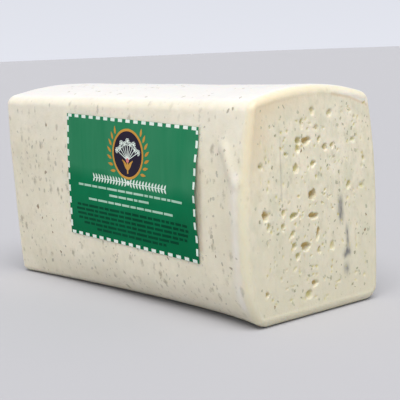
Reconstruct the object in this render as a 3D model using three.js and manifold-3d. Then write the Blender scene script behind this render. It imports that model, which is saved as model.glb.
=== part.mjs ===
// Loaf of dill havarti cheese with a printed label on one long wall.
// Millimetres, +Z up. X runs along the loaf, the cut end with the eyes faces +X, and the label is
// on the -Y wall. The origin is the centre of the box's footprint, on the surface it rests on.

import * as THREE from "three";
import { mergeVertices } from "three/addons/utils/BufferGeometryUtils.js";
import Module from "manifold-3d";

// Loaf: the box that the mould and the knife leave
const LOAF_LENGTH = 258;
const LOAF_WIDTH = 114.5;
const LOAF_HEIGHT = 139;
const CUT_EDGE_RADIUS = 5.5;
const MOULDED_END_RADIUS = 4.5;
const LONG_EDGE_RADIUS = 6.5;
const BASE_EDGE_RADIUS = 4;

// Sag of the soft cheese: how far the walls leave the box
const WAIST_LEVEL = 0.46;
const CROWN_DROP = 7.3;
const TOP_SAG = { depth: 0.6, middle: 0.4, spread: 0.5 };
const LABEL_WALL_TOP_TUCK = 6;
const LABEL_WALL_TOP_EASE = 6.2;
const REAR_WALL_FOOT_TUCK = 1.6;
const REAR_WALL_TOP_TUCK = 7.8;
const FLARE_DEPTH = 3.3;
const FLARE_LENGTH = 40;
const BULGE_SPREAD = 0.34;

// The label wall's foot is rolled under most of all between the middle and the cut end, and much
// less at the cut end itself, where the cut has let the loaf spread
const FOOT_TUCK = 16.3;
const FOOT_TUCK_RISE = 10.1;
const FOOT_TUCK_BOW = 4.8;
const FOOT_TUCK_RELIEF = 10.4;
const RELIEF_LENGTH = 30;
const FOOT_SHARPNESS = 6;

// Toward the far end the label wall leans in at its foot
const LEAN_DEPTH = 4.5;
const LEAN_TOP_LEVEL = 0.74;
const LEAN_ONSET = 1.5;

// Handling marks beside the label: a shallow dent below a slanting ridge
const DENT_CENTRE = { along: 104, up: 89 };
const DENT_DEPTH = 1.1;
const DENT_HALF_LENGTH = 8;
const DENT_HALF_HEIGHT = 19;
const RIDGE_TOP = { along: 108.5, up: 110 };
const RIDGE_FOOT = { along: 122.5, up: 86 };
const RIDGE_HEIGHT = 1.2;
const RIDGE_HALF_WIDTH = 4;

// Facets: rows across each rounded edge, and along the flat between two edges, where a crowding
// above 1 draws the rows together toward the low end of the axis
const EDGE_BAND = 0.16;
const EDGE_ROWS = 3;
const FLAT_ROWS = { x: 18, y: 8, z: 12 };
const CROWDING = { x: 1, y: 1, z: 1.35 };

// Label: a thin printed sheet that follows the wall
const LABEL_FOOT_LEFT = { along: -51.7, up: 38.8 };
const LABEL_FOOT_RIGHT = { along: 87.8, up: 35.3 };
const LABEL_HEAD_LEFT = { along: -48.8, up: 121.6 };
const LABEL_HEAD_RIGHT = { along: 87.8, up: 116.3 };
const LABEL_THICKNESS = 0.5;
const LABEL_GAP = 0.35;
const LABEL_ROWS = { length: 16, height: 10 };
const LIFT_HEIGHT = 1.8;
const LIFT_START = 0.78;
const LIFT_LEVEL = 0.5;
const LIFT_SPREAD = 0.28;

// Eyes of the cut end, placed by hand: across (Y), up (Z), width, height and depth
const MAIN_EYES = [
  [-3.5, 73.5, 5.5, 7, 4.5],
  [-8, 106, 6.5, 5, 3],
  [-14.5, 106.5, 4, 4.5, 3],
  [-15, 102, 4, 4.5, 2.5],
  [8, 101, 4.5, 3.5, 3],
  [3, 106, 2.5, 3.5, 2],
  [14.5, 101.5, 3, 4, 2],
  [-2.5, 92, 4, 4, 2.5],
  [-17, 90.5, 4, 6, 2],
  [-25, 99.5, 3, 2, 1.5],
  [-45, 94.5, 4, 2.5, 2],
  [28.5, 76, 3.5, 5, 2.5],
  [40.5, 74.5, 4, 3, 1.5],
  [-2.5, 123, 3.5, 4.5, 2],
  [12.5, 121, 3.5, 4, 2],
  [-11.5, 116.5, 2, 6, 2],
  [1, 113, 2.5, 3.5, 2],
  [33, 103.5, 4, 3, 1.5],
  [42.5, 91, 3, 3, 1.5],
  [-42.5, 65.5, 5.5, 5, 3.5],
  [-19.5, 63, 6, 4, 3],
  [-3, 61, 7.5, 4, 3],
  [-28, 65.5, 2.5, 5, 2],
  [-40, 59, 3, 4, 2],
  [-28.5, 57.5, 3, 4.5, 2],
  [-20.5, 52.5, 3.5, 4, 2],
  [0.5, 49.5, 3, 7, 2.5],
  [-10, 43.5, 8.5, 4.5, 3.5],
  [-19.5, 45, 3, 4, 2],
  [1.5, 39.5, 2.5, 5, 2],
  [13, 40.5, 4.5, 5, 2],
  [-17, 38.5, 4, 3.5, 2],
  [-3, 20, 4, 4.5, 2.5],
  [-8, 14, 4.5, 6, 2.5],
  [-42.5, 20, 3.5, 2.5, 2],
];
const EYE_MOUTH_LEVEL = 0.4;
const EYE_ROUGHNESS = 0.22;
const EYE_DETAIL = 1;
const PINHOLE_COUNT = 10;
const PINHOLE_WIDTH = { least: 1.4, most: 2.4 };
const PINHOLE_DEPTH = 1.2;
const PINHOLE_REACH = { across: 45, lowest: 12, highest: 122 };
const RANDOM_SEED = 20260;

// Vertices closer than this are one vertex
const MERGE_DISTANCE = 1e-4;

const wasm = await Module();
wasm.setup();

// Repeatable random numbers from 0 to 1 (a linear congruential generator)
function seededRandom(seed) {
  const modulus = 2147483647;
  const factor = 48271;
  let state = seed;
  return () => {
    state = (state * factor) % modulus;
    return state / modulus;
  };
}

function clamp01(value) {
  return THREE.MathUtils.clamp(value, 0, 1);
}

function bell(distance, spread) {
  return Math.exp(-((distance / spread) ** 2));
}

// Rows across one axis of the box, closer together in the rounded bands at its two ends
function gradedRows(flatRows, crowding) {
  const rows = [];
  for (let i = 0; i < EDGE_ROWS; i += 1) {
    rows.push(-1 + (EDGE_BAND * i) / EDGE_ROWS);
  }
  for (let i = 0; i <= flatRows; i += 1) {
    rows.push((1 - EDGE_BAND) * (2 * (i / flatRows) ** crowding - 1));
  }
  for (let i = EDGE_ROWS - 1; i >= 0; i -= 1) {
    rows.push(1 - (EDGE_BAND * i) / EDGE_ROWS);
  }
  return rows;
}

// How far down toward the foot, and how far up toward the top, a height lies from the waist
function footShare(level) {
  return clamp01(1 - level / WAIST_LEVEL) ** FOOT_SHARPNESS;
}

function topShare(level) {
  return clamp01((level - WAIST_LEVEL) / (1 - WAIST_LEVEL)) ** 2;
}

// How far the foot of the label wall is rolled under, in millimetres
function footTuck(along) {
  const share = along / (LOAF_LENGTH / 2);
  const relief = FOOT_TUCK_RELIEF * Math.exp((along - LOAF_LENGTH / 2) / RELIEF_LENGTH);
  return FOOT_TUCK + FOOT_TUCK_RISE * share - FOOT_TUCK_BOW * share ** 2 - relief;
}

// How far the label wall moves out of the box at a point: rolled under at the foot, tucked in at
// the top, leaning in toward the far end, and flared beside the cut end, where the loaf's own
// weight pushes it out
function labelWallOffset(along, up) {
  const level = up / LOAF_HEIGHT;
  const towardFarEnd = clamp01((1 - along / (LOAF_LENGTH / 2)) / 2);
  const flare = FLARE_DEPTH * Math.exp((along - LOAF_LENGTH / 2) / FLARE_LENGTH);
  const lean = LEAN_DEPTH * towardFarEnd ** LEAN_ONSET * clamp01(1 - level / LEAN_TOP_LEVEL);
  return (
    flare * bell(level - WAIST_LEVEL, BULGE_SPREAD) -
    footShare(level) * footTuck(along) -
    topShare(level) * (LABEL_WALL_TOP_TUCK - LABEL_WALL_TOP_EASE * towardFarEnd) -
    lean +
    handlingMarks(along, up)
  );
}

function rearWallOffset(up) {
  const level = up / LOAF_HEIGHT;
  return -footShare(level) * REAR_WALL_FOOT_TUCK - topShare(level) * REAR_WALL_TOP_TUCK;
}

// The dent is a bell, and the ridge a bell across the line between its two ends
function handlingMarks(along, up) {
  const dent =
    bell(along - DENT_CENTRE.along, DENT_HALF_LENGTH) * bell(up - DENT_CENTRE.up, DENT_HALF_HEIGHT);
  const point = new THREE.Vector3(along, up, 0);
  const top = new THREE.Vector3(RIDGE_TOP.along, RIDGE_TOP.up, 0);
  const foot = new THREE.Vector3(RIDGE_FOOT.along, RIDGE_FOOT.up, 0);
  const nearest = new THREE.Line3(top, foot).closestPointToPoint(point, true, new THREE.Vector3());
  return RIDGE_HEIGHT * bell(nearest.distanceTo(point), RIDGE_HALF_WIDTH) - DENT_DEPTH * dent;
}

// Rounded box from a cube of half-size 1: a flat stretch, then an arc across the edge band
function roundedBoxPoint(cube) {
  const half = new THREE.Vector3(LOAF_LENGTH / 2, LOAF_WIDTH / 2, LOAF_HEIGHT / 2);
  const endRadius = cube.x > 0 ? CUT_EDGE_RADIUS : MOULDED_END_RADIUS;
  const levelRadius = cube.z > 0 ? LONG_EDGE_RADIUS : BASE_EDGE_RADIUS;
  const radius = new THREE.Vector3(endRadius, LONG_EDGE_RADIUS, levelRadius);
  const core = new THREE.Vector3();
  const normal = new THREE.Vector3();
  for (const axis of ["x", "y", "z"]) {
    const side = Math.sign(cube[axis]);
    const reach = Math.abs(cube[axis]);
    const flat = clamp01(reach / (1 - EDGE_BAND));
    const turn = clamp01((reach - (1 - EDGE_BAND)) / EDGE_BAND);
    core[axis] = side * flat * (half[axis] - radius[axis]);
    normal[axis] = side * Math.tan((turn * Math.PI) / 4);
  }
  return core.add(normal.normalize().multiply(radius));
}

// How far the top lies below the box, at a share of the way from its middle to a wall
function topDrop(along, acrossShare) {
  const sag = TOP_SAG.depth * bell(along / (LOAF_LENGTH / 2) - TOP_SAG.middle, TOP_SAG.spread);
  return CROWN_DROP * acrossShare ** 2 + sag;
}

// The loaf's skin: the rounded box, its walls moved in and out, and its top crowned
function loafPoint(cube) {
  const point = roundedBoxPoint(cube);
  const up = point.z + LOAF_HEIGHT / 2;
  const level = up / LOAF_HEIGHT;
  const acrossShare = point.y / (LOAF_WIDTH / 2);
  const offset = point.y < 0 ? labelWallOffset(point.x, up) : rearWallOffset(up);
  const across = point.y * (1 + offset / (LOAF_WIDTH / 2));
  return new THREE.Vector3(point.x, across, up - topDrop(point.x, acrossShare) * level ** 2);
}

function moveVertices(geometry, toPlace) {
  const position = geometry.attributes.position;
  const vertex = new THREE.Vector3();
  for (let i = 0; i < position.count; i += 1) {
    vertex.fromBufferAttribute(position, i);
    const moved = toPlace(vertex);
    position.setXYZ(i, moved.x, moved.y, moved.z);
  }
}

// Vertices shared by neighbouring faces are merged, so the mesh is one closed body
function closedBody(geometry) {
  geometry.deleteAttribute("normal");
  geometry.deleteAttribute("uv");
  return mergeVertices(geometry, MERGE_DISTANCE);
}

function loafGeometry() {
  const rows = {
    x: gradedRows(FLAT_ROWS.x, CROWDING.x),
    y: gradedRows(FLAT_ROWS.y, CROWDING.y),
    z: gradedRows(FLAT_ROWS.z, CROWDING.z),
  };
  const segments = { x: rows.x.length - 1, y: rows.y.length - 1, z: rows.z.length - 1 };
  const geometry = new THREE.BoxGeometry(2, 2, 2, segments.x, segments.y, segments.z);
  const cube = new THREE.Vector3();
  moveVertices(geometry, (vertex) => {
    for (const axis of ["x", "y", "z"]) {
      const row = Math.round(((vertex[axis] + 1) / 2) * segments[axis]);
      cube[axis] = rows[axis][row];
    }
    return loafPoint(cube);
  });
  return closedBody(geometry);
}

// An eye: a lumpy ball whose mouth, on the cut face, is a little narrower than the ball itself
function eyeGeometry(across, up, width, height, depth, random) {
  const geometry = closedBody(new THREE.IcosahedronGeometry(1, EYE_DETAIL));
  const mouthShare = Math.sqrt(1 - EYE_MOUTH_LEVEL ** 2);
  const ballDepth = depth / (1 + EYE_MOUTH_LEVEL);
  const size = new THREE.Vector3(ballDepth, width / 2 / mouthShare, height / 2 / mouthShare);
  const centre = new THREE.Vector3(LOAF_LENGTH / 2 - EYE_MOUTH_LEVEL * ballDepth, across, up);
  moveVertices(geometry, (vertex) => {
    const lump = 1 + EYE_ROUGHNESS * (random() - 0.5) * 2;
    return vertex.multiply(size).multiplyScalar(lump).add(centre);
  });
  return geometry;
}

function pinholeGeometry(random) {
  const pick = (least, most) => THREE.MathUtils.lerp(least, most, random());
  const across = pick(-PINHOLE_REACH.across, PINHOLE_REACH.across);
  const up = pick(PINHOLE_REACH.lowest, PINHOLE_REACH.highest);
  const width = pick(PINHOLE_WIDTH.least, PINHOLE_WIDTH.most);
  const height = pick(PINHOLE_WIDTH.least, PINHOLE_WIDTH.most);
  return eyeGeometry(across, up, width, height, PINHOLE_DEPTH, random);
}

function toSolid(geometry) {
  const vertProperties = Float32Array.from(geometry.attributes.position.array);
  const triVerts = Uint32Array.from(geometry.index.array);
  return new wasm.Manifold(new wasm.Mesh({ numProp: 3, vertProperties, triVerts }));
}

function toGeometry(solid) {
  const mesh = solid.getMesh();
  const geometry = new THREE.BufferGeometry();
  geometry.setAttribute("position", new THREE.BufferAttribute(mesh.vertProperties, 3));
  geometry.setIndex(new THREE.BufferAttribute(mesh.triVerts, 1));
  return geometry;
}

function cheeseGeometry() {
  const random = seededRandom(RANDOM_SEED);
  let solid = toSolid(loafGeometry());
  for (const [across, up, width, height, depth] of MAIN_EYES) {
    solid = solid.subtract(toSolid(eyeGeometry(across, up, width, height, depth, random)));
  }
  for (let i = 0; i < PINHOLE_COUNT; i += 1) {
    solid = solid.subtract(toSolid(pinholeGeometry(random)));
  }
  return toGeometry(solid);
}

// The height on the uncrowned wall that the crown brings down to a given height
function beforeCrown(along, up) {
  const steepness = topDrop(along, 1) / LOAF_HEIGHT ** 2;
  return (1 - Math.sqrt(1 - 4 * steepness * up)) / (2 * steepness);
}

// One coordinate at a share of the label's width and height, between its four corners
function betweenCorners(key, widthShare, heightShare) {
  const foot = THREE.MathUtils.lerp(LABEL_FOOT_LEFT[key], LABEL_FOOT_RIGHT[key], widthShare);
  const head = THREE.MathUtils.lerp(LABEL_HEAD_LEFT[key], LABEL_HEAD_RIGHT[key], widthShare);
  return THREE.MathUtils.lerp(foot, head, heightShare);
}

// A point of the label: share of its width, share of its height, and distance off the wall
function labelPoint(widthShare, heightShare, standoff) {
  const along = betweenCorners("along", widthShare, heightShare);
  const up = betweenCorners("up", widthShare, heightShare);
  const lifted = clamp01((widthShare - LIFT_START) / (1 - LIFT_START)) ** 2;
  const lift = LIFT_HEIGHT * lifted * bell(heightShare - LIFT_LEVEL, LIFT_SPREAD);
  const wall = LOAF_WIDTH / 2 + labelWallOffset(along, beforeCrown(along, up));
  return new THREE.Vector3(along, -(wall + standoff + lift), up);
}

function labelGeometry() {
  const geometry = new THREE.BoxGeometry(1, 1, 1, LABEL_ROWS.length, 1, LABEL_ROWS.height);
  moveVertices(geometry, (vertex) => {
    const standoff = LABEL_GAP + (0.5 - vertex.y) * LABEL_THICKNESS;
    return labelPoint(vertex.x + 0.5, vertex.z + 0.5, standoff);
  });
  return closedBody(geometry);
}

function namedMesh(name, geometry, look) {
  const mesh = new THREE.Mesh(geometry, new THREE.MeshStandardMaterial(look));
  mesh.name = name;
  return mesh;
}

const havarti = new THREE.Group();
havarti.add(
  namedMesh("cheese_block", cheeseGeometry(), { color: 0xe4dcc2, roughness: 0.5, metalness: 0 }),
  namedMesh("label", labelGeometry(), { color: 0x0f6b43, roughness: 0.3, metalness: 0 }),
);

// The walls flare unevenly, so the pieces are moved to centre their common box on the origin
const middle = new THREE.Box3().setFromObject(havarti).getCenter(new THREE.Vector3());
for (const mesh of havarti.children) {
  mesh.position.set(-middle.x, -middle.y, 0);
}

export default havarti;
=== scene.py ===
"""Loaf of dill havarti with a printed label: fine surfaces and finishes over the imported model.

The loaf is worked out in millimetres in its maker's terms (along the loaf, across it, up from
the table), and each mesh is turned into metres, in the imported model's frame, when it is made.
"""

import logging
import math
from dataclasses import dataclass, field
from enum import Enum
from typing import Callable, Sequence

import bpy
import numpy as np
from mathutils import Matrix, Vector

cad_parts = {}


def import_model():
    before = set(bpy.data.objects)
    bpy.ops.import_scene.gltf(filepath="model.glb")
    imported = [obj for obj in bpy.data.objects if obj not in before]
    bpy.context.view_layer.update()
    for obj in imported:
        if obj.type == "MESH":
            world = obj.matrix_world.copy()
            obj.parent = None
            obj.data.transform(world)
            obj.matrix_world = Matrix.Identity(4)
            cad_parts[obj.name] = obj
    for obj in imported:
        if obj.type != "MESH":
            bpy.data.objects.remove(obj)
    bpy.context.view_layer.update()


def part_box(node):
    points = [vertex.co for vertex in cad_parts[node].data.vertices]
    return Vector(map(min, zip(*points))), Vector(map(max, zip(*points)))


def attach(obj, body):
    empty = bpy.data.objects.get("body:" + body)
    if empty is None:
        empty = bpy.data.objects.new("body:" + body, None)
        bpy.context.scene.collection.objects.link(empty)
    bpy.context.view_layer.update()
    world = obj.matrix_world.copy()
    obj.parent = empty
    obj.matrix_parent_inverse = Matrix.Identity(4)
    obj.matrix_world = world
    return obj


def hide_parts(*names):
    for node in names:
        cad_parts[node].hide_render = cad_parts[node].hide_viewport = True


LOG = logging.getLogger("havarti")
MM = 0.001
RANDOM_SEED = 4117

Array = np.ndarray
Colour = tuple[float, float, float]


WAVE_STRETCH = (0.7, 1.5)
WAVE_GAIN = 1.6
FLAT_FACE = 0.999


def bell(distance: Array, spread: float) -> Array:
    """Smooth hump: exp(-(distance / spread)^2).

    Args:
        distance: distance from the hump's middle.
        spread: distance at which the hump has fallen to 1/e.

    Returns:
        The hump's height, from 0 to 1.
    """
    return np.exp(-((distance / spread) ** 2))


def segment_distance(u: Array, v: Array, start: Sequence[float], end: Sequence[float]) -> Array:
    """Distance in a plane from points (u, v) to the straight stretch from start to end.

    Args:
        u: first coordinates of the points.
        v: second coordinates of the points.
        start: where the stretch begins.
        end: where it ends.

    Returns:
        The distances, of the same shape as u.
    """
    du, dv = end[0] - start[0], end[1] - start[1]
    share = np.clip(((u - start[0]) * du + (v - start[1]) * dv) / (du * du + dv * dv), 0, 1)
    return np.hypot(u - start[0] - share * du, v - start[1] - share * dv)


def waves(u: Array, v: Array, w: Array, length: float, seed: int, count: int = 7) -> Array:
    """Smooth repeatable unevenness: the mean of sines in seeded directions.

    Each term is sin(2 pi (d . p) / (length * s) + phase), with a unit direction d and a stretch
    s within WAVE_STRETCH.

    Args:
        u: first coordinates, in millimetres.
        v: second coordinates.
        w: third coordinates.
        length: the middle wavelength, in millimetres.
        seed: chooses the directions and phases.
        count: number of sines.

    Returns:
        Values around 0, rarely beyond -1 and 1.
    """
    random = np.random.default_rng(seed)
    total = np.zeros(np.broadcast(u, v, w).shape)
    for _ in range(count):
        direction = random.normal(size=3)
        direction /= np.linalg.norm(direction)
        stretch = random.uniform(*WAVE_STRETCH)
        phase = random.uniform(0, 2 * math.pi)
        along = direction[0] * u + direction[1] * v + direction[2] * w
        total = total + np.sin(2 * math.pi * along / (length * stretch) + phase)
    return total * WAVE_GAIN / count


def run_distance(u: Array, v: Array, points: Sequence[Sequence[float]]) -> Array:
    """Distance in a plane from points (u, v) to the nearest stretch of a run of points."""
    return np.minimum.reduce([segment_distance(u, v, a, b) for a, b in zip(points, points[1:])])


def grid_quads(rows: int, columns: int, closed: bool = False) -> Array:
    """Four-cornered faces of a grid of points stored row by row.

    Args:
        rows: number of rows of points.
        columns: number of points in a row.
        closed: whether each row joins back to its own start.

    Returns:
        An array of shape (faces, 4).
    """
    across = np.arange(columns if closed else columns - 1)
    down = np.arange(rows - 1)[:, None]
    here = down * columns + across
    right = down * columns + (across + 1) % columns
    return np.stack([here, right, right + columns, here + columns], -1).reshape(-1, 4)


def slab_faces(rows: int, columns: int, first: int = 0) -> Array:
    """Faces of a thin closed slab: an upper grid, a lower one stored after it, and a rim.

    Args:
        rows: rows of points of either grid.
        columns: points in a row.
        first: index of the slab's first point.

    Returns:
        The quads.
    """
    index = np.arange(rows * columns).reshape(rows, columns)
    edge = np.concatenate([index[0, :-1], index[:-1, -1], index[-1, :0:-1], index[:0:-1, 0]])
    following = np.roll(edge, -1)
    under = rows * columns
    faces = grid_quads(rows, columns)
    rim = np.stack([edge, edge + under, following + under, following], -1)
    return first + np.concatenate([faces, faces[:, ::-1] + under, rim])


def new_mesh(name: str, points: Array, quads: Array, triangles: Array,
             sharp_above: float = 180.0) -> bpy.types.Mesh:
    """Mesh from whole arrays.

    Args:
        name: the mesh's name.
        points: vertices in metres, of shape (n, 3).
        quads: four-cornered faces.
        triangles: three-cornered faces.
        sharp_above: edges that fold by more than this angle, in degrees, are shaded sharp.

    Returns:
        The new mesh.
    """
    mesh = bpy.data.meshes.new(name)
    mesh.vertices.add(len(points))
    mesh.vertices.foreach_set("co", points.astype(np.float32).ravel())
    corners = np.concatenate([quads.ravel(), triangles.ravel()]).astype(np.int32)
    sizes = np.concatenate([np.full(len(quads), 4), np.full(len(triangles), 3)])
    starts = np.concatenate([[0], np.cumsum(sizes)[:-1]]).astype(np.int32)
    mesh.loops.add(len(corners))
    mesh.loops.foreach_set("vertex_index", corners)
    mesh.polygons.add(len(sizes))
    mesh.polygons.foreach_set("loop_start", starts)
    mesh.polygons.foreach_set("use_smooth", np.ones(len(sizes), bool))
    mesh.update(calc_edges=True)
    mesh.validate()
    if sharp_above < 180:
        mesh.set_sharp_from_angle(angle=math.radians(sharp_above))
    return mesh


def set_values(mesh: bpy.types.Mesh, name: str, values: Array) -> None:
    """Gives every point of a mesh a value, which its material reads by name."""
    made = mesh.attributes.new(name, "FLOAT", "POINT")
    made.data.foreach_set("value", values.astype(np.float32))


FOLD_ANGLE = 40.0
NO_FACES_4 = np.zeros((0, 4), int)
NO_FACES_3 = np.zeros((0, 3), int)


class EyeTone(Enum):
    """How dark the inside of an eye is coloured, partly its own colour and partly painted shade: a
    share from the pale paste to brown.
    """

    PALE = 0.12
    OLIVE = 0.55
    BROWN = 1.0


@dataclass
class Eye:
    """One eye of the cheese where the cut opens it: its place and size in millimetres."""

    across: float
    up: float
    width: float
    height: float
    depth: float
    tone: EyeTone


PALE, OLIVE, BROWN = EyeTone.PALE, EyeTone.OLIVE, EyeTone.BROWN
MAIN_EYES = (
    Eye(-3.5, 73.5, 5.5, 7, 4.5, BROWN),
    Eye(-8, 106, 6.5, 5, 3, BROWN),
    Eye(-14.5, 106.5, 4, 4.5, 3, OLIVE),
    Eye(-15, 102, 4, 4.5, 2.5, OLIVE),
    Eye(8, 101, 4.5, 3.5, 3, OLIVE),
    Eye(3, 106, 2.5, 3.5, 2, OLIVE),
    Eye(14.5, 101.5, 3, 4, 2, OLIVE),
    Eye(-2.5, 92, 4, 4, 2.5, OLIVE),
    Eye(-17, 90.5, 4, 6, 2, OLIVE),
    Eye(-25, 99.5, 3, 2, 1.5, OLIVE),
    Eye(-45, 94.5, 4, 2.5, 2, OLIVE),
    Eye(28.5, 76, 3.5, 5, 2.5, OLIVE),
    Eye(40.5, 74.5, 4, 3, 1.5, PALE),
    Eye(-2.5, 123, 3.5, 4.5, 2, PALE),
    Eye(12.5, 121, 3.5, 4, 2, PALE),
    Eye(-11.5, 116.5, 2, 6, 2, OLIVE),
    Eye(1, 113, 2.5, 3.5, 2, PALE),
    Eye(33, 103.5, 4, 3, 1.5, PALE),
    Eye(42.5, 91, 3, 3, 1.5, OLIVE),
    Eye(-42.5, 65.5, 5.5, 5, 3.5, BROWN),
    Eye(-19.5, 63, 6, 4, 3, OLIVE),
    Eye(-3, 61, 7.5, 4, 3, BROWN),
    Eye(-28, 65.5, 2.5, 5, 2, OLIVE),
    Eye(-40, 59, 3, 4, 2, OLIVE),
    Eye(-28.5, 57.5, 3, 4.5, 2, OLIVE),
    Eye(-20.5, 52.5, 3.5, 4, 2, OLIVE),
    Eye(0.5, 49.5, 3, 7, 2.5, BROWN),
    Eye(-10, 43.5, 8.5, 4.5, 3.5, BROWN),
    Eye(-19.5, 45, 3, 4, 2, OLIVE),
    Eye(1.5, 39.5, 2.5, 5, 2, OLIVE),
    Eye(13, 40.5, 4.5, 5, 2, PALE),
    Eye(-17, 38.5, 4, 3.5, 2, OLIVE),
    Eye(-3, 20, 4, 4.5, 2.5, BROWN),
    Eye(-8, 14, 4.5, 6, 2.5, OLIVE),
    Eye(-42.5, 20, 3.5, 2.5, 2, BROWN),
)


# Each smear's place across and up, its half-width, its half-height and its strength.
SMEARS = (
    (20.9, 66.0, 2.0, 4.0, 1.1),
    (21.2, 59.0, 2.3, 4.2, 1.3),
    (26.6, 47.5, 1.3, 4.0, 0.9),
    (27.0, 41.5, 1.3, 3.0, 0.8),
    (27.2, 35.0, 2.6, 2.8, 1.2),
    (24.2, 33.0, 1.8, 1.8, 0.8),
    (25.6, 24.6, 2.4, 3.4, 1.0),
)


@dataclass
class CutFace:
    """The knife's face: its eyes, drag lines, smears, and tints that are partly the rind's tan and
    partly painted shade and highlight, as functions of across and up.

    Lengths are in millimetres. Each lobe of an eye's outline is its number around the eye and
    its size.
    """

    eyes: Sequence[Eye] = MAIN_EYES
    pinholes: int = 170
    pinhole_width: tuple[float, float] = (0.7, 2.1)
    pinhole_tallness: float = 1.3
    pinhole_depth: float = 0.65
    reach_across: float = 46.0
    reach_up: tuple[float, float] = (8.0, 126.0)
    lobes: tuple[tuple[int, float], ...] = ((2, 0.16), (3, 0.10), (5, 0.07))
    eye_tilt: float = 0.35
    lip_width: float = 0.35
    lip_depth: float = 0.1
    shade_rise: float = 0.22
    shade_reach: float = 1.0
    shade_fade: float = 0.3
    groove_top: tuple[float, float] = (-29.2, 109.5)
    groove_foot: tuple[float, float] = (-29.0, 73.0)
    groove_depth: float = 0.25
    groove_width: float = 0.35
    groove_stain: float = 0.3
    groove_stain_width: float = 0.6
    smears: Sequence[tuple[float, float, float, float, float]] = SMEARS
    smear_wave: float = 5.0
    smear_mean: float = 0.85
    smear_swing: float = 0.3
    smear_most: float = 0.95
    # The rind's tan near the rim, partly painted shade where the rounded rim turns from the light.
    rind_shade_width: float = 9.5
    rind_shade_foot: float = 62.0
    rind_shade_turn: float = 12.0
    rind_shade_fade: float = 60.0
    rind_shade_shares: tuple[float, float] = (0.15, 0.95)
    corner: tuple[float, float] = (-43.0, 113.0)
    corner_size: tuple[float, float] = (9.0, 15.0)
    corner_share: float = 0.45
    # Painted shade along a fine crease through these points.
    crease_points: tuple[tuple[float, float], ...] = ((15.0, 132.0), (30.0, 129.3), (47.0, 123.5))
    crease_shade_width: float = 0.8
    # Painted highlight on the rim above the crease.
    rim_rise: float = 1.9
    rim_width: float = 2.4
    rim_start: float = 8.0
    rim_ease: float = 22.0
    drag_depth: float = 0.05
    drag_length: float = 9.0
    setback: float = 0.15
    seed: int = RANDOM_SEED + 1

    def all_eyes(self) -> list[Eye]:
        """The eyes listed one by one, and the small ones strewn between them.

        Returns:
            All the eyes.
        """
        random = np.random.default_rng(self.seed)
        found = list(self.eyes)
        for _ in range(self.pinholes):
            across = random.uniform(-self.reach_across, self.reach_across)
            up = random.uniform(*self.reach_up)
            width, height = random.uniform(*self.pinhole_width, size=2)
            tone = OLIVE if random.random() < 0.5 else PALE
            height *= self.pinhole_tallness
            found.append(Eye(across, up, width, height, self.pinhole_depth, tone))
        return found

    def relief(self, across: Array, up: Array) -> tuple[Array, Array, Array]:
        """Depth of the face under its plane, with the eyes' masks for the finish.

        An eye's outline is an ellipse whose radius is changed by lobes, with
        r = |p / size| / (1 + the sum of size_k sin(k a + phase_k)), and its depth is
        depth * sqrt(1 - r^3) inside it, with a soft lip outside it.

        Args:
            across: across the loaf, in millimetres.
            up: height above the table, in millimetres.

        Returns:
            The depth in millimetres, how far inside an eye each point is (0 to 1), measured from a
            middle raised up the eye so that the eye's colour paints shade on its upper wall and
            leaves its lower lip pale, and the tone of that eye.
        """
        random = np.random.default_rng(self.seed + 7)
        drags = waves(across * 3, across * 0, up * 0.15, self.drag_length, self.seed)
        depth = self.setback + self.drag_depth * drags
        eye_shade = np.zeros_like(across)
        tone = np.zeros_like(across)
        for eye in self.all_eyes():
            phases = random.uniform(0, 2 * math.pi, 3)
            tilt = random.uniform(-self.eye_tilt, self.eye_tilt)
            u, v = across - eye.across, up - eye.up
            turned_u = u * math.cos(tilt) + v * math.sin(tilt)
            turned_v = v * math.cos(tilt) - u * math.sin(tilt)
            a = turned_u / (eye.width / 2)
            b = turned_v / (eye.height / 2)
            angle = np.arctan2(b, a)
            lobes = 1.0
            for (number, size), phase in zip(self.lobes, phases):
                lobes = lobes + size * np.sin(number * angle + phase)
            r = np.hypot(a, b) / lobes
            bowl = eye.depth * np.sqrt(np.clip(1 - r**3, 0, 1))
            lip = self.lip_depth * np.clip(1 - (r - 1) / self.lip_width, 0, 1) ** 2
            depth = np.maximum(depth, bowl + lip)
            # Painted shade: the eye's colour is centred higher up, darkening the upper wall and
            # leaving the lower lip pale.
            raised = np.hypot(a, b - self.shade_rise) / lobes
            share = np.clip((self.shade_reach - raised) / self.shade_fade, 0, 1)
            tone = np.where(share > eye_shade, eye.tone.value, tone)
            eye_shade = np.maximum(eye_shade, share)
        return depth + self.groove_depth * self.groove(across, up, self.groove_width), eye_shade, tone

    def groove(self, across: Array, up: Array, width: float) -> Array:
        """The knife's line as a bell of a given width, from 0 to 1."""
        return bell(segment_distance(across, up, self.groove_top, self.groove_foot), width)

    def stains(self, across: Array, up: Array) -> Array:
        """Grey-blue smears: a sum of upright bells broken up by waves, and the knife's line.

        Args:
            across: across the loaf, in millimetres.
            up: height above the table.

        Returns:
            The stain's strength, from 0 to 1.
        """
        total = np.zeros_like(across)
        for middle, level, wide, tall, strength in self.smears:
            total += strength * bell(across - middle, wide) * bell(up - level, tall)
        swings = waves(across * 3, across * 0, up, self.smear_wave, self.seed + 3)
        smeared = total * (self.smear_mean + self.smear_swing * swings)
        line = self.groove_stain * self.groove(across, up, self.groove_stain_width)
        return np.clip(np.clip(smeared, 0, self.smear_most) + line, 0, 1)

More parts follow.
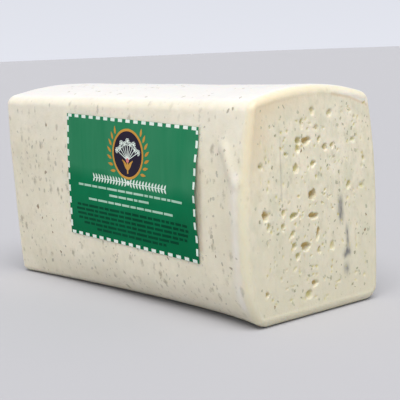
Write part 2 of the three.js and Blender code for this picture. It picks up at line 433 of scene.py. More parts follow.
    def rind_and_shade(self, across: Array, up: Array, from_border: Array) -> Array:
        """Tan tint near the rim, strongest high on the label side: partly the drier paste's own
        colour, partly painted shade where the rounded rim turns from the light.

        It is a bell of the distance from the rim, with a duller spot in the near upper corner.

        Args:
            across: across the loaf, in millimetres.
            up: height above the table.
            from_border: distance from the face's rim.

        Returns:
            The strength of the tan and the painted shade, from 0 to 1.
        """
        high = np.clip((up - self.rind_shade_foot) / self.rind_shade_fade, 0, 1)
        label_side = np.clip((self.rind_shade_turn - across) / self.rind_shade_fade, 0, 1)
        least, more = self.rind_shade_shares
        glow = bell(from_border, self.rind_shade_width) * high * (least + more * label_side)
        wide, tall = self.corner_size
        spot = bell(across - self.corner[0], wide) * bell(up - self.corner[1], tall)
        return np.clip(glow + self.corner_share * spot, 0, 1)

    def crease_shade(self, across: Array, up: Array) -> Array:
        """Painted shade along a fine crease under the top edge on the rear side: a brownish line,
        as a bell, from 0 to 1.
        """
        return bell(run_distance(across, up, self.crease_points), self.crease_shade_width)

    def rim_highlight(self, across: Array, up: Array) -> Array:
        """Painted highlight on the rim above the crease: a bell that starts softly, from 0 to 1.

        Args:
            across: across the loaf, in millimetres.
            up: height above the table.

        Returns:
            The highlight's strength.
        """
        rim = bell(run_distance(across, up - self.rim_rise, self.crease_points), self.rim_width)
        return rim * np.clip((across - self.rim_start) / self.rim_ease, 0, 1)


@dataclass
class Loaf:
    """The loaf's form: a rounded box whose walls and top have moved as soft cheese does.

    Lengths are in millimetres. A place on the label wall is along and up.
    """

    length: float = 258.0
    width: float = 114.5
    height: float = 139.0
    cut_edge: float = 5.5
    moulded_end: float = 4.5
    long_edge: float = 6.5
    base_edge: float = 4.0
    rear_base_edge: tuple[float, float] = (10.0, 9.0)
    least_edge: float = 1.2
    waist: float = 0.46
    crown_drop: float = 7.3
    sag_drop: float = 0.6
    sag_middle: float = 0.4
    sag_spread: float = 0.5
    top_tuck: float = 6.0
    top_ease: float = 6.2
    rear_foot_tuck: float = 1.6
    rear_top_tuck: float = 7.8
    flare_depth: float = 3.3
    flare_length: float = 40.0
    bulge_spread: float = 0.34
    foot_tuck: float = 16.3
    foot_rise: float = 10.1
    foot_bow: float = 4.8
    foot_relief: float = 10.4
    relief_length: float = 30.0
    foot_sharpness: float = 6.0
    lean_depth: float = 4.5
    lean_top: float = 0.74
    lean_onset: float = 1.5
    dent_centre: tuple[float, float] = (104.0, 89.0)
    dent_depth: float = 1.1
    dent_size: tuple[float, float] = (8.0, 19.0)
    ridge_top: tuple[float, float] = (109.5, 111.0)
    ridge_foot: tuple[float, float] = (120.5, 89.0)
    ridge_height: float = 1.2
    ridge_width: float = 4.0
    fold_foot: tuple[float, float] = (120.0, 18.0)
    fold_height: float = 0.35
    fold_width: float = 3.2
    wave_depth: float = 0.22
    wave_length: float = 46.0
    ripple_depth: float = 0.07
    ripple_length: float = 13.0
    setback: float = 0.5
    # Painted sheen: a pale band on the label wall at its turn to the cut, standing in for a satin
    # highlight, runs between these points.
    sheen_band_top: tuple[float, float] = (121.5, 90.0)
    sheen_band_foot: tuple[float, float] = (121.0, 14.0)
    sheen_band_width: float = 3.0
    sheen_band_mean: float = 0.62
    sheen_band_swing: float = 0.4
    sheen_band_least: float = 0.15
    sheen_band_patch: float = 26.0
    # Painted shade: a duller patch beside the sheen band, where the wall is dented.
    painted_shade_centre: tuple[float, float] = (108.0, 60.0)
    painted_shade_size: tuple[float, float] = (12.0, 32.0)
    # Painted shadow: a strip beside the label's lifted right edge.
    label_shadow_top: tuple[float, float] = (88.9, 92.0)
    label_shadow_foot: tuple[float, float] = (89.4, 44.0)
    label_shadow_width: float = 2.0
    # Painted sheen: the upper walls are painted paler from this height, over this rise.
    sheen_high_start: float = 92.0
    sheen_high_rise: float = 45.0
    base_ease: float = 12.0
    rim_ease: float = 1.5
    rind_shade_reach: float = 4.0
    seed: int = RANDOM_SEED
    cut_face: CutFace = field(default_factory=CutFace)
    middle_across: float = 0.0

    def __post_init__(self) -> None:
        """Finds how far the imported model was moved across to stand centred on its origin."""
        low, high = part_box("cheese_block")
        walls = self.settle(self.section_sweep()[0])
        own_middle = (walls[..., 1].min() + walls[..., 1].max()) / 2
        self.middle_across = (low.y + high.y) / 2 / MM - own_middle

    def foot_shade_share(self, level: Array) -> Array:
        """How far a height lies below the waist: clip(1 - level / waist)^sharpness."""
        return np.clip(1 - level / self.waist, 0, 1) ** self.foot_sharpness

    def top_share(self, level: Array) -> Array:
        """How far a height lies above the waist: clip((level - waist) / (1 - waist))^2."""
        return np.clip((level - self.waist) / (1 - self.waist), 0, 1) ** 2

    def label_wall_offset(self, along: Array, up: Array) -> Array:
        """How far the label wall stands out of the box, in millimetres.

        Its foot is rolled under by tuck + rise s - bow s^2 - relief exp((along - end) / length),
        where s is the share of the way from the middle to the cut end. Its top is tucked in, less
        so toward the far end, where the whole wall leans in at its foot, and it is flared beside
        the cut end.

        Args:
            along: along the loaf, 0 at its middle, the cut end positive.
            up: height before the top is crowned.

        Returns:
            The offset, positive outward.
        """
        half = self.length / 2
        level = up / self.height
        share = along / half
        far = np.clip((1 - share) / 2, 0, 1)
        relief = self.foot_relief * np.exp((along - half) / self.relief_length)
        foot = self.foot_tuck + self.foot_rise * share - self.foot_bow * share**2 - relief
        flare = self.flare_depth * np.exp((along - half) / self.flare_length)
        lean = self.lean_depth * far**self.lean_onset * np.clip(1 - level / self.lean_top, 0, 1)
        return (
            flare * bell(level - self.waist, self.bulge_spread)
            - self.foot_shade_share(level) * foot
            - self.top_share(level) * (self.top_tuck - self.top_ease * far)
            - lean
            + self.handling_marks(along, up)
        )

    def rear_wall_offset(self, up: Array) -> Array:
        """How far the rear wall stands out of the box, positive outward.

        Args:
            up: height before the top is crowned.

        Returns:
            The offset in millimetres.
        """
        level = up / self.height
        foot = self.foot_shade_share(level) * self.rear_foot_tuck
        return -foot - self.top_share(level) * self.rear_top_tuck

    def handling_marks(self, along: Array, up: Array) -> Array:
        """The dent beside the label, the slanting ridge above it and its upright run, as bells.

        Args:
            along: along the loaf.
            up: height before the top is crowned.

        Returns:
            How far they stand out of the wall.
        """
        dent = bell(along - self.dent_centre[0], self.dent_size[0])
        dent = dent * bell(up - self.dent_centre[1], self.dent_size[1])
        from_ridge = segment_distance(along, up, self.ridge_top, self.ridge_foot)
        from_fold = segment_distance(along, up, self.ridge_foot, self.fold_foot)
        ridge = self.ridge_height * bell(from_ridge, self.ridge_width)
        fold = self.fold_height * bell(from_fold, self.fold_width)
        return np.maximum(ridge, fold) - self.dent_depth * dent

    def painted_wall_light(self, along: Array, up: Array) -> tuple[Array, Array, Array]:
        """Masks of the light and shade painted on the label wall, all bells.

        Args:
            along: along the loaf.
            up: height above the table.

        Returns:
            The painted sheen of a pale band at the turn to the cut, broken up by waves, the painted
            shade of a duller patch beside it, and the painted shadow of the label's lifted edge on
            a strip.
        """
        sheen_band = bell(segment_distance(along, up, self.sheen_band_top, self.sheen_band_foot), self.sheen_band_width)
        patches = self.sheen_band_swing * waves(along, up, up * 0, self.sheen_band_patch, self.seed + 5)
        sheen_band = sheen_band * np.clip(self.sheen_band_mean + patches, self.sheen_band_least, 1)
        painted_shade = bell(along - self.painted_shade_centre[0], self.painted_shade_size[0])
        painted_shade = painted_shade * bell(up - self.painted_shade_centre[1], self.painted_shade_size[1])
        strip = bell(segment_distance(along, up, self.label_shadow_top, self.label_shadow_foot), self.label_shadow_width)
        return sheen_band, painted_shade, strip

    def unevenness(self, points: Array) -> Array:
        """Long low waves and finer ripples of a wall pressed by its mould, in millimetres.

        Args:
            points: points of the rounded box, of shape (..., 3).

        Returns:
            How far they stand out of the wall.
        """
        x, y, z = points[..., 0], points[..., 1], points[..., 2]
        long_waves = self.wave_depth * waves(x, y, z, self.wave_length, self.seed)
        ripples = self.ripple_depth * waves(x, y, z, self.ripple_length, self.seed + 1)
        return long_waves + ripples - self.setback

    def top_drop(self, along: Array, share: Array) -> Array:
        """How far the top lies below the box: crown_drop share^2, and a shallow sag as a bell."""
        sag = self.sag_drop * bell(along / (self.length / 2) - self.sag_middle, self.sag_spread)
        return self.crown_drop * share**2 + sag

    def settle(self, points: Array) -> Array:
        """Moves the points of the rounded box to where the soft loaf has them.

        y' = y (1 + offset / (width / 2)) and z' = z - top_drop(x, y / half) (z / height)^2.

        Args:
            points: points of the rounded box, heights counted from its base.

        Returns:
            The moved points.
        """
        x, y, z = points[..., 0], points[..., 1], points[..., 2]
        half = self.width / 2
        offset = np.where(y < 0, self.label_wall_offset(x, z), self.rear_wall_offset(z))
        drop = self.top_drop(x, y / half) * (z / self.height) ** 2
        return np.stack([x, y * (1 + offset / half), z - drop], -1)

    @staticmethod
    def loop(per_side: int, per_corner: int) -> tuple[Array, Array]:
        """The cross-section's outline, anticlockwise seen from the cut end.

        It is a rectangle of straight runs with a quarter arc at each corner.

        Args:
            per_side: points on each straight run.
            per_corner: points on each arc.

        Returns:
            Where each point's core lies on the rectangle of the arcs' centres, from -1 to 1 both
            ways, and its outward unit normal, both of shape (points, 2).
        """
        corners = np.array([(1.0, -1.0), (1.0, 1.0), (-1.0, 1.0), (-1.0, -1.0)])
        cores, normals = [], []
        for i in range(4):
            start, end = corners[i], corners[(i + 1) % 4]
            middle_turn = i * math.pi / 2
            share = np.linspace(0, 1, per_side)[:, None]
            cores.append(start + (end - start) * share)
            side = np.array([math.cos(middle_turn), math.sin(middle_turn)])
            normals.append(np.broadcast_to(side, (per_side, 2)))
            turns = middle_turn + math.pi / 2 * np.arange(1, per_corner) / per_corner
            cores.append(np.broadcast_to(end, (per_corner - 1, 2)))
            normals.append(np.stack([np.cos(turns), np.sin(turns)], -1))
        return np.concatenate(cores), np.concatenate(normals)

    def sections(self, inset: Array, cores: Array, outward: Array) -> Array:
        """The cross-section drawn in by an inset, its corner arcs tighter by the same amount.

        An arc's radius is max(radius - inset, least_edge), about a centre that keeps the flats
        at the inset. The rear arc at the base is wider than it is tall.

        Args:
            inset: each row's inset, in millimetres.
            cores: cores of the outline's points, as loop gives them.
            outward: their normals.

        Returns:
            Across and up of each point, of shape (rows, points, 2).
        """
        inset = inset[:, None]
        at_rear = cores[:, 0] > 0
        worn = at_rear & (outward[:, 1] < 0)
        side = np.where(worn, self.rear_base_edge[0], self.long_edge)
        side = np.maximum(side - inset, self.least_edge)
        low = np.where(at_rear, self.rear_base_edge[1], self.base_edge)
        low = np.maximum(low - inset, self.least_edge)
        high = np.maximum(self.long_edge - inset, self.least_edge)
        across = (self.width / 2 - inset - side) * cores[:, 0] + side * outward[:, 0]
        floor, roof = inset + low, self.height - inset - high
        level = np.where(outward[:, 1] < 0, low, high)
        up = floor + (roof - floor) * (cores[:, 1] + 1) / 2 + level * outward[:, 1]
        return np.stack([across, up], -1)

    def section_sweep(
        self, stations: int = 84, close_stations: int = 30, turn_rows: int = 8,
        cap_rows: int = 96, far_rows: int = 10, per_side: int = 88, per_corner: int = 9,
    ) -> tuple[Array, Array, Array]:
        """The rounded box as one surface: the cross-section carried along the loaf.

        A row of the grid is the section at one place. Through the rounded ends the section
        shrinks by the end radius * (1 - cos a) while it moves by the radius * sin a, and over the
        flat ends it shrinks onto the middle of the face.

        Args:
            stations: rows along the straight walls.
            close_stations: how many of them lie within the flare beside the cut.
            turn_rows: rows over each rounded end edge.
            cap_rows: rows from the cut face's rim to its middle.
            far_rows: rows from the moulded end's rim to its middle.
            per_side: points on each straight run of the section.
            per_corner: points on each of its arcs.

        Returns:
            Points, outward normals, both of shape (rows, points, 3), and each row's share of the
            way from the middle of its end face to the rim.
        """
        cores, outward = self.loop(per_side, per_corner)
        half = self.length / 2
        turn = np.arange(1, turn_rows + 1) / turn_rows * math.pi / 2
        far_share = np.arange(0, far_rows) / far_rows
        near_share = 1 - np.arange(1, cap_rows + 1) / cap_rows
        flare_start = half - self.flare_length
        open_stations = stations - close_stations
        straight = np.concatenate([
            np.linspace(-half + self.moulded_end, flare_start, open_stations, endpoint=False),
            np.linspace(flare_start, half - self.cut_edge, close_stations),
        ])
        x = np.concatenate([
            np.full(far_rows, -half),
            (-half + self.moulded_end * (1 - np.sin(turn)))[::-1],
            straight,
            half - self.cut_edge * (1 - np.sin(turn)),
            np.full(cap_rows, half),
        ])
        inset = np.concatenate([
            np.full(far_rows, self.moulded_end),
            (self.moulded_end * (1 - np.cos(turn)))[::-1],
            np.zeros(stations),
            self.cut_edge * (1 - np.cos(turn)),
            np.full(cap_rows, self.cut_edge),
        ])
        facing = np.concatenate([
            np.full(far_rows, -1.0),
            -np.sin(turn)[::-1],
            np.zeros(stations),
            np.sin(turn),
            np.ones(cap_rows),
        ])
        share = np.concatenate([far_share, np.ones(2 * turn_rows + stations), near_share])
        flat = self.sections(inset, cores, outward)
        middle = np.array([0.0, self.height / 2])
        flat = middle + (flat - middle) * share[:, None, None]
        points = np.empty((len(x), len(cores), 3))
        points[..., 0] = x[:, None]
        points[..., 1:] = flat
        level = np.sqrt(1 - facing**2)
        normals = np.empty_like(points)
        normals[..., 0] = facing[:, None]
        normals[..., 1:] = level[:, None, None] * outward[None]
        return points, normals, share

    def skin(self) -> tuple[Array, Array, Array, dict[str, Array]]:
        """The finished skin with its relief, and the masks that its finish reads.

        Returns:
            Points in millimetres, quads, triangles, and the point attributes by name.
        """
        box, normals, share = self.section_sweep()
        points = self.settle(box)
        lifted_base = np.clip(box[..., 2] / self.base_ease, 0, 1)
        wall = 1 - np.abs(normals[..., 0])
        points = points + normals * (self.unevenness(box) * wall * lifted_base)[..., None]
        on_cut = normals[..., 0] > FLAT_FACE
        depth, eye_shade, tone = self.cut_face.relief(points[..., 1], points[..., 2])
        from_border = (1 - share[:, None]) * np.hypot(
            points[..., 1], points[..., 2] - self.height / 2
        )
        rim_fade = np.clip(from_border / self.rim_ease, 0, 1)
        points[..., 0] -= np.where(on_cut, depth * rim_fade, 0)
        half = self.length / 2
        end_gap = np.clip(half - points[..., 0], 0, None) * wall + from_border
        near_end = np.clip(1 - np.clip(half - box[..., 0], 0, None) / self.rind_shade_reach, 0, 1)
        rind_and_shade = self.cut_face.rind_and_shade(points[..., 1], points[..., 2], end_gap)
        stains = self.cut_face.stains(points[..., 1], points[..., 2])
        cut = np.clip(normals[..., 0], 0, 1) ** 2
        label_side = np.clip(-normals[..., 1], 0, 1)
        sheen_band, painted_shade, strip = self.painted_wall_light(points[..., 0], points[..., 2])
        attributes = {
            "eye_inside_shade": np.where(on_cut, eye_shade * rim_fade, 0),
            "eye_tone": np.where(on_cut, tone, 0),
            "stain": stains * cut,
            "rind_and_shade": rind_and_shade * near_end,
            "cut": cut,
            "sheen_band": sheen_band * label_side,
            "painted_shade": painted_shade * label_side,
            # Painted shadow of the label's lifted edge.
            "strip": strip * label_side,
            "top": np.clip(normals[..., 2], 0, 1) ** 2,
            # Painted sheen on the upper walls.
            "high": np.clip((box[..., 2] - self.sheen_high_start) / self.sheen_high_rise, 0, 1) * (1 - cut),
            "crease_shade": self.cut_face.crease_shade(points[..., 1], points[..., 2]) * cut,
            "rim_highlight": self.cut_face.rim_highlight(points[..., 1], points[..., 2]) * cut,
        }
        return self.closed_grid(points, attributes)

    @staticmethod
    def closed_grid(points: Array, attributes: dict[str, Array]
                    ) -> tuple[Array, Array, Array, dict[str, Array]]:
        """Closes a grid whose first row, and the row past its last, are single points.

        Args:
            points: the grid, of shape (rows, columns, 3). Its first and last rows have shrunk to
                a point.
            attributes: values on the same grid.

        Returns:
            Flat points, quads, triangles and flat attributes.
        """
        rows, columns = points.shape[:2]
        body = points[1:-1].reshape(-1, 3)
        poles = np.stack([points[0, 0], points[-1, 0]])
        quads = grid_quads(rows - 2, columns, closed=True)
        around = np.arange(columns)
        following = (around + 1) % columns
        first_pole, last_pole = len(body), len(body) + 1
        last_row = (rows - 3) * columns
        start_fan = np.stack([np.full(columns, first_pole), following, around], -1)
        tip = np.full(columns, last_pole)
        end_fan = np.stack([tip, last_row + around, last_row + following], -1)
        flat = {
            name: np.concatenate([values[1:-1].ravel(), [values[0, 0], values[-1, 0]]])
            for name, values in attributes.items()
        }
        return np.concatenate([body, poles]), quads, np.concatenate([start_fan, end_fan]), flat

    def before_crown(self, along: Array, up: Array) -> Array:
        """The height that the crown brings down to a given height at a wall."""
        steepness = self.top_drop(along, 1.0) / self.height**2
        return (1 - np.sqrt(1 - 4 * steepness * up)) / (2 * steepness)

    def wall(self, along: Array, up: Array, standoff: Array, side: int) -> Array:
        """Points at a distance off a long wall.

        Args:
            along: along the loaf, in millimetres.
            up: height above the table.
            standoff: distance off the wall.
            side: -1 for the label wall, 1 for the rear wall.

        Returns:
            The points, of shape (..., 3).
        """
        half = self.width / 2
        box_up = self.before_crown(along, up)
        flat = np.stack(np.broadcast_arrays(along, side * half + 0 * box_up, box_up), -1)
        label_offset, rear_offset = self.label_wall_offset, self.rear_wall_offset
        offset = label_offset(along, box_up) if side < 0 else rear_offset(box_up)
        out = half + offset + self.unevenness(flat)
        return np.stack(np.broadcast_arrays(along, side * (out + standoff), up), -1)

    def label_wall(self, along: Array, up: Array, standoff: Array) -> Array:
        """Points at a distance off the label wall."""
        return self.wall(along, up, standoff, -1)

    def rear_wall(self, along: Array, up: Array, standoff: Array) -> Array:
        """Points at a distance off the rear wall."""
        return self.wall(along, up, standoff, 1)

    def top_face(self, along: Array, across: Array, standoff: Array) -> Array:
        """Points at a distance above the crowned top: z = height - top_drop(x, y / half).

        Args:
            along: along the loaf, in millimetres.
            across: across it.
            standoff: distance above the top.

        Returns:
            The points, of shape (..., 3).
        """
        half = self.width / 2
        reach = np.where(
            across < 0,
            half + self.label_wall_offset(along, self.height + 0 * across),
            half + self.rear_wall_offset(self.height + 0 * across),
        )
        share = across / reach
        flat = np.stack(np.broadcast_arrays(along, share * half, self.height + 0 * across), -1)
        up = self.height - self.top_drop(along, share) + self.unevenness(flat)
        return np.stack(np.broadcast_arrays(along, across, up + standoff), -1)

    def cut_end(self, across: Array, up: Array, standoff: Array) -> Array:
        """Points at a distance off the cut face's plane, sunk by its relief.

        Args:
            across: across the loaf, in millimetres.
            up: height above the table.
            standoff: distance off the face.

        Returns:
            The points, of shape (..., 3).
        """
        depth = self.cut_face.relief(across, up)[0]
        along = self.length / 2 - depth + standoff
        return np.stack(np.broadcast_arrays(along, across, up), -1)

    def moulded_face(self, across: Array, up: Array, standoff: Array) -> Array:
        """Points at a distance off the plane of the closed far end."""
        along = -self.length / 2 + self.cut_face.setback - standoff + 0 * across
        return np.stack(np.broadcast_arrays(along, across, up), -1)

    def to_frame(self, points: Array) -> Array:
        """Millimetres in the loaf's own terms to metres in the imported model's frame."""
        return (points + np.array([0.0, self.middle_across, 0.0])) * MM


@dataclass
class Piece:
    """A finished mesh object of the loaf."""

    name: str
    mesh: bpy.types.Mesh
    material: bpy.types.Material
    slot: str

    def place(self) -> bpy.types.Object:
        """Links the object at the origin and lets it ride on the loaf's one body.

        Returns:
            The object.
        """
        self.mesh.materials.append(self.material)
        piece = bpy.data.objects.new(self.name, self.mesh)
        bpy.context.scene.collection.objects.link(piece)
        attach(piece, "root")
        LOG.info("%s: %d faces", self.name, len(self.mesh.polygons))
        return piece


class Shader:
    """Builds the nodes of one material or node group, a node at a time."""

    def __init__(self, tree: bpy.types.NodeTree) -> None:
        """Keeps the tree that the nodes go into."""
        self.tree = tree

    def node(self, kind: str, **settings: object) -> bpy.types.Node:
        """Adds a node and sets its properties.

        Args:
            kind: the node's type.
            settings: its properties by name.

        Returns:
            The node.
        """
        made = self.tree.nodes.new(kind)
        for name, value in settings.items():
            setattr(made, name, value)
        return made

    def feed(self, socket: bpy.types.NodeSocket, value: object) -> None:
        """Links a socket to another, or sets its own value.

        Args:
            socket: the input.
            value: an output to link, or a value to set.
        """
        if isinstance(value, bpy.types.NodeSocket):
            self.tree.links.new(value, socket)
        else:
            socket.default_value = value

    def math(self, operation: str, first: object, second: object = 0.0,
             clamp: bool = False) -> bpy.types.NodeSocket:
        """One arithmetic step on two sockets or numbers.

        Args:
            operation: the node's operation.
            first: first socket or number.
            second: second socket or number.
            clamp: whether the result is kept from 0 to 1.

        Returns:
            The result.
        """
        made = self.node("ShaderNodeMath", operation=operation, use_clamp=clamp)
        self.feed(made.inputs[0], first)
        self.feed(made.inputs[1], second)
        return made.outputs[0]

    def times(self, first: object, second: object, clamp: bool = False) -> bpy.types.NodeSocket:
        """Product of two sockets or numbers."""
        return self.math("MULTIPLY", first, second, clamp)

    def plus(self, first: object, second: object) -> bpy.types.NodeSocket:
        """Sum of two sockets or numbers."""
        return self.math("ADD", first, second)

    def mix(self, share: object, first: object, second: object) -> bpy.types.NodeSocket:
        """Mix of two colours by a share.

        Args:
            share: share of the second.
            first: first colour.
            second: second colour.

        Returns:
            The mixed colour.
        """
        made = self.node("ShaderNodeMix", data_type="RGBA")
        self.feed(made.inputs["Factor"], share)
        for socket, value in ((made.inputs[6], first), (made.inputs[7], second)):
            is_colour = isinstance(value, tuple) and len(value) == 3
            self.feed(socket, (*value, 1.0) if is_colour else value)
        return made.outputs[2]

    def tint(self, colour: object, mask: str, strength: float, over: Colour
             ) -> bpy.types.NodeSocket:
        """The colour with another over it, where the mesh holds a mask, at a strength."""
        return self.mix(self.times(self.attribute(mask), strength), colour, over)

    def between(self, value: object, low: float, high: float, start: float = 0.0,
                end: float = 1.0) -> bpy.types.NodeSocket:
        """Stretch of a value from low..high to start..end, clamped.

        Args:
            value: the value.
            low: its value at the start.
            high: its value at the end.
            start: the result at low.
            end: the result at high.

        Returns:
            The stretched value.
        """
        made = self.node("ShaderNodeMapRange")
        self.feed(made.inputs["Value"], value)
        limits = {"From Min": low, "From Max": high, "To Min": start, "To Max": end}
        for name, number in limits.items():
            made.inputs[name].default_value = number
        return made.outputs["Result"]

    def object_space(self, stretch: Sequence[float] = (1, 1, 1)) -> bpy.types.NodeSocket:
        """Object coordinates, stretched along the axes.

        Args:
            stretch: the factor along each axis.

        Returns:
            The coordinates.
        """
        place = self.node("ShaderNodeTexCoord").outputs["Object"]
        made = self.node("ShaderNodeMapping")
        self.feed(made.inputs["Vector"], place)
        made.inputs["Scale"].default_value = tuple(stretch)
        return made.outputs["Vector"]

    def height(self) -> bpy.types.NodeSocket:
        """Height above the table, in metres.

        Returns:
            The height.
        """
        place = self.node("ShaderNodeSeparateXYZ")
        self.feed(place.inputs[0], self.object_space())
        return place.outputs["Z"]

    def noise(self, vector: object, scale: object, detail: float = 3.0,
              roughness: float = 0.5) -> bpy.types.NodeSocket:
        """Cloudy noise with a number of repeats per metre.

        Args:
            vector: where it is read.
            scale: repeats per metre.
            detail: number of finer layers.
            roughness: how strong the finer layers are.

        Returns:
            The noise, around 0.5.
        """
        made = self.node("ShaderNodeTexNoise")
        self.feed(made.inputs["Vector"], vector)
        self.feed(made.inputs["Scale"], scale)
        made.inputs["Detail"].default_value = detail
        made.inputs["Roughness"].default_value = roughness
        return made.outputs["Fac"]

    def attribute(self, name: str) -> bpy.types.NodeSocket:
        """The value that a mesh holds under a name."""
        made = self.node("ShaderNodeAttribute", attribute_name=name, attribute_type="GEOMETRY")
        return made.outputs["Fac"]

    def bump(self, height: object, distance: float, strength: float = 1.0) -> bpy.types.NodeSocket:
        """Normals of a height, given in metres at height 1.

        Args:
            height: the height.
            distance: metres at height 1.
            strength: share of the effect.

        Returns:
            The normals.
        """
        made = self.node("ShaderNodeBump")
        made.inputs["Distance"].default_value = distance
        made.inputs["Strength"].default_value = strength
        self.feed(made.inputs["Height"], height)
        return made.outputs["Normal"]

    def use_group(self, group: bpy.types.NodeTree, **values: float) -> bpy.types.Node:
        """Places a node group and sets its inputs by name.

        Args:
            group: the node group.
            values: its inputs by name.

        Returns:
            The group's node.
        """
        made = self.node("ShaderNodeGroup", node_tree=group)
        for name, value in values.items():
            self.feed(made.inputs[name.replace("_", " ")], value)
        return made


def start_material(name: str) -> tuple[bpy.types.Material, Shader, bpy.types.Node]:
    """A new node material with its Principled shader.

    Args:
        name: the material's name.

    Returns:
        The material, the builder of its nodes, and its shader.
    """
    material = bpy.data.materials.new(name)
    material.use_nodes = True
    shader = Shader(material.node_tree)
    return material, shader, material.node_tree.nodes["Principled BSDF"]


def start_group(name: str, inputs: dict[str, float], outputs: Sequence[str]
                ) -> tuple[bpy.types.NodeTree, Shader, bpy.types.Node, bpy.types.Node]:
    """A new node group with number inputs and outputs.

    Args:
        name: the group's name.
        inputs: each input's name and usual value.
        outputs: the outputs' names.

    Returns:
        The group, the builder of its nodes, and its input and output nodes.
    """
    group = bpy.data.node_groups.new(name, "ShaderNodeTree")
    for label, value in inputs.items():
        socket = group.interface.new_socket(label, in_out="INPUT", socket_type="NodeSocketFloat")
        socket.default_value = value
    for label in outputs:
        group.interface.new_socket(label, in_out="OUTPUT", socket_type="NodeSocketFloat")
    shader = Shader(group)
    return group, shader, shader.node("NodeGroupInput"), shader.node("NodeGroupOutput")


def mottle_group() -> bpy.types.NodeTree:
    """Cloudy variation at two sizes, shared by the paste and the herb.

    Returns:
        A group with inputs Broad, Fine and Balance, and the output Cloud.
    """
    inputs = {"Broad": 30.0, "Fine": 260.0, "Balance": 0.35}
    group, shader, given, out = start_group("cloudy_mottle", inputs, ["Cloud"])
    place = shader.object_space()
    blend = shader.node("ShaderNodeMix", data_type="FLOAT")
    shader.feed(blend.inputs["Factor"], given.outputs["Balance"])
    for socket, label in ((blend.inputs[2], "Broad"), (blend.inputs[3], "Fine")):
        shader.feed(socket, shader.noise(place, given.outputs[label], 4.0))
    shader.feed(out.inputs["Cloud"], shader.between(blend.outputs[0], 0.32, 0.68))
    return group


def film_group() -> bpy.types.NodeTree:
    """Long soft ripples of thin film pulled upright, shared by the label and its print.

    Returns:
        A group with inputs Ripples and Roughness, and the outputs Height and Rough.
    """
    inputs = {"Ripples": 60.0, "Roughness": 0.2}
    group, shader, given, out = start_group("film_ripple", inputs, ["Height", "Rough"])
    upright = shader.object_space((1.0, 1.0, 0.12))
    shader.feed(out.inputs["Height"], shader.noise(upright, given.outputs["Ripples"], 2.0))
    smear = shader.noise(shader.object_space((1, 1, 0.4)), 90, 3)
    spread = shader.between(smear, 0.35, 0.7, -0.05, 0.07)
    shader.feed(out.inputs["Rough"], shader.plus(given.outputs["Roughness"], spread))
    return group


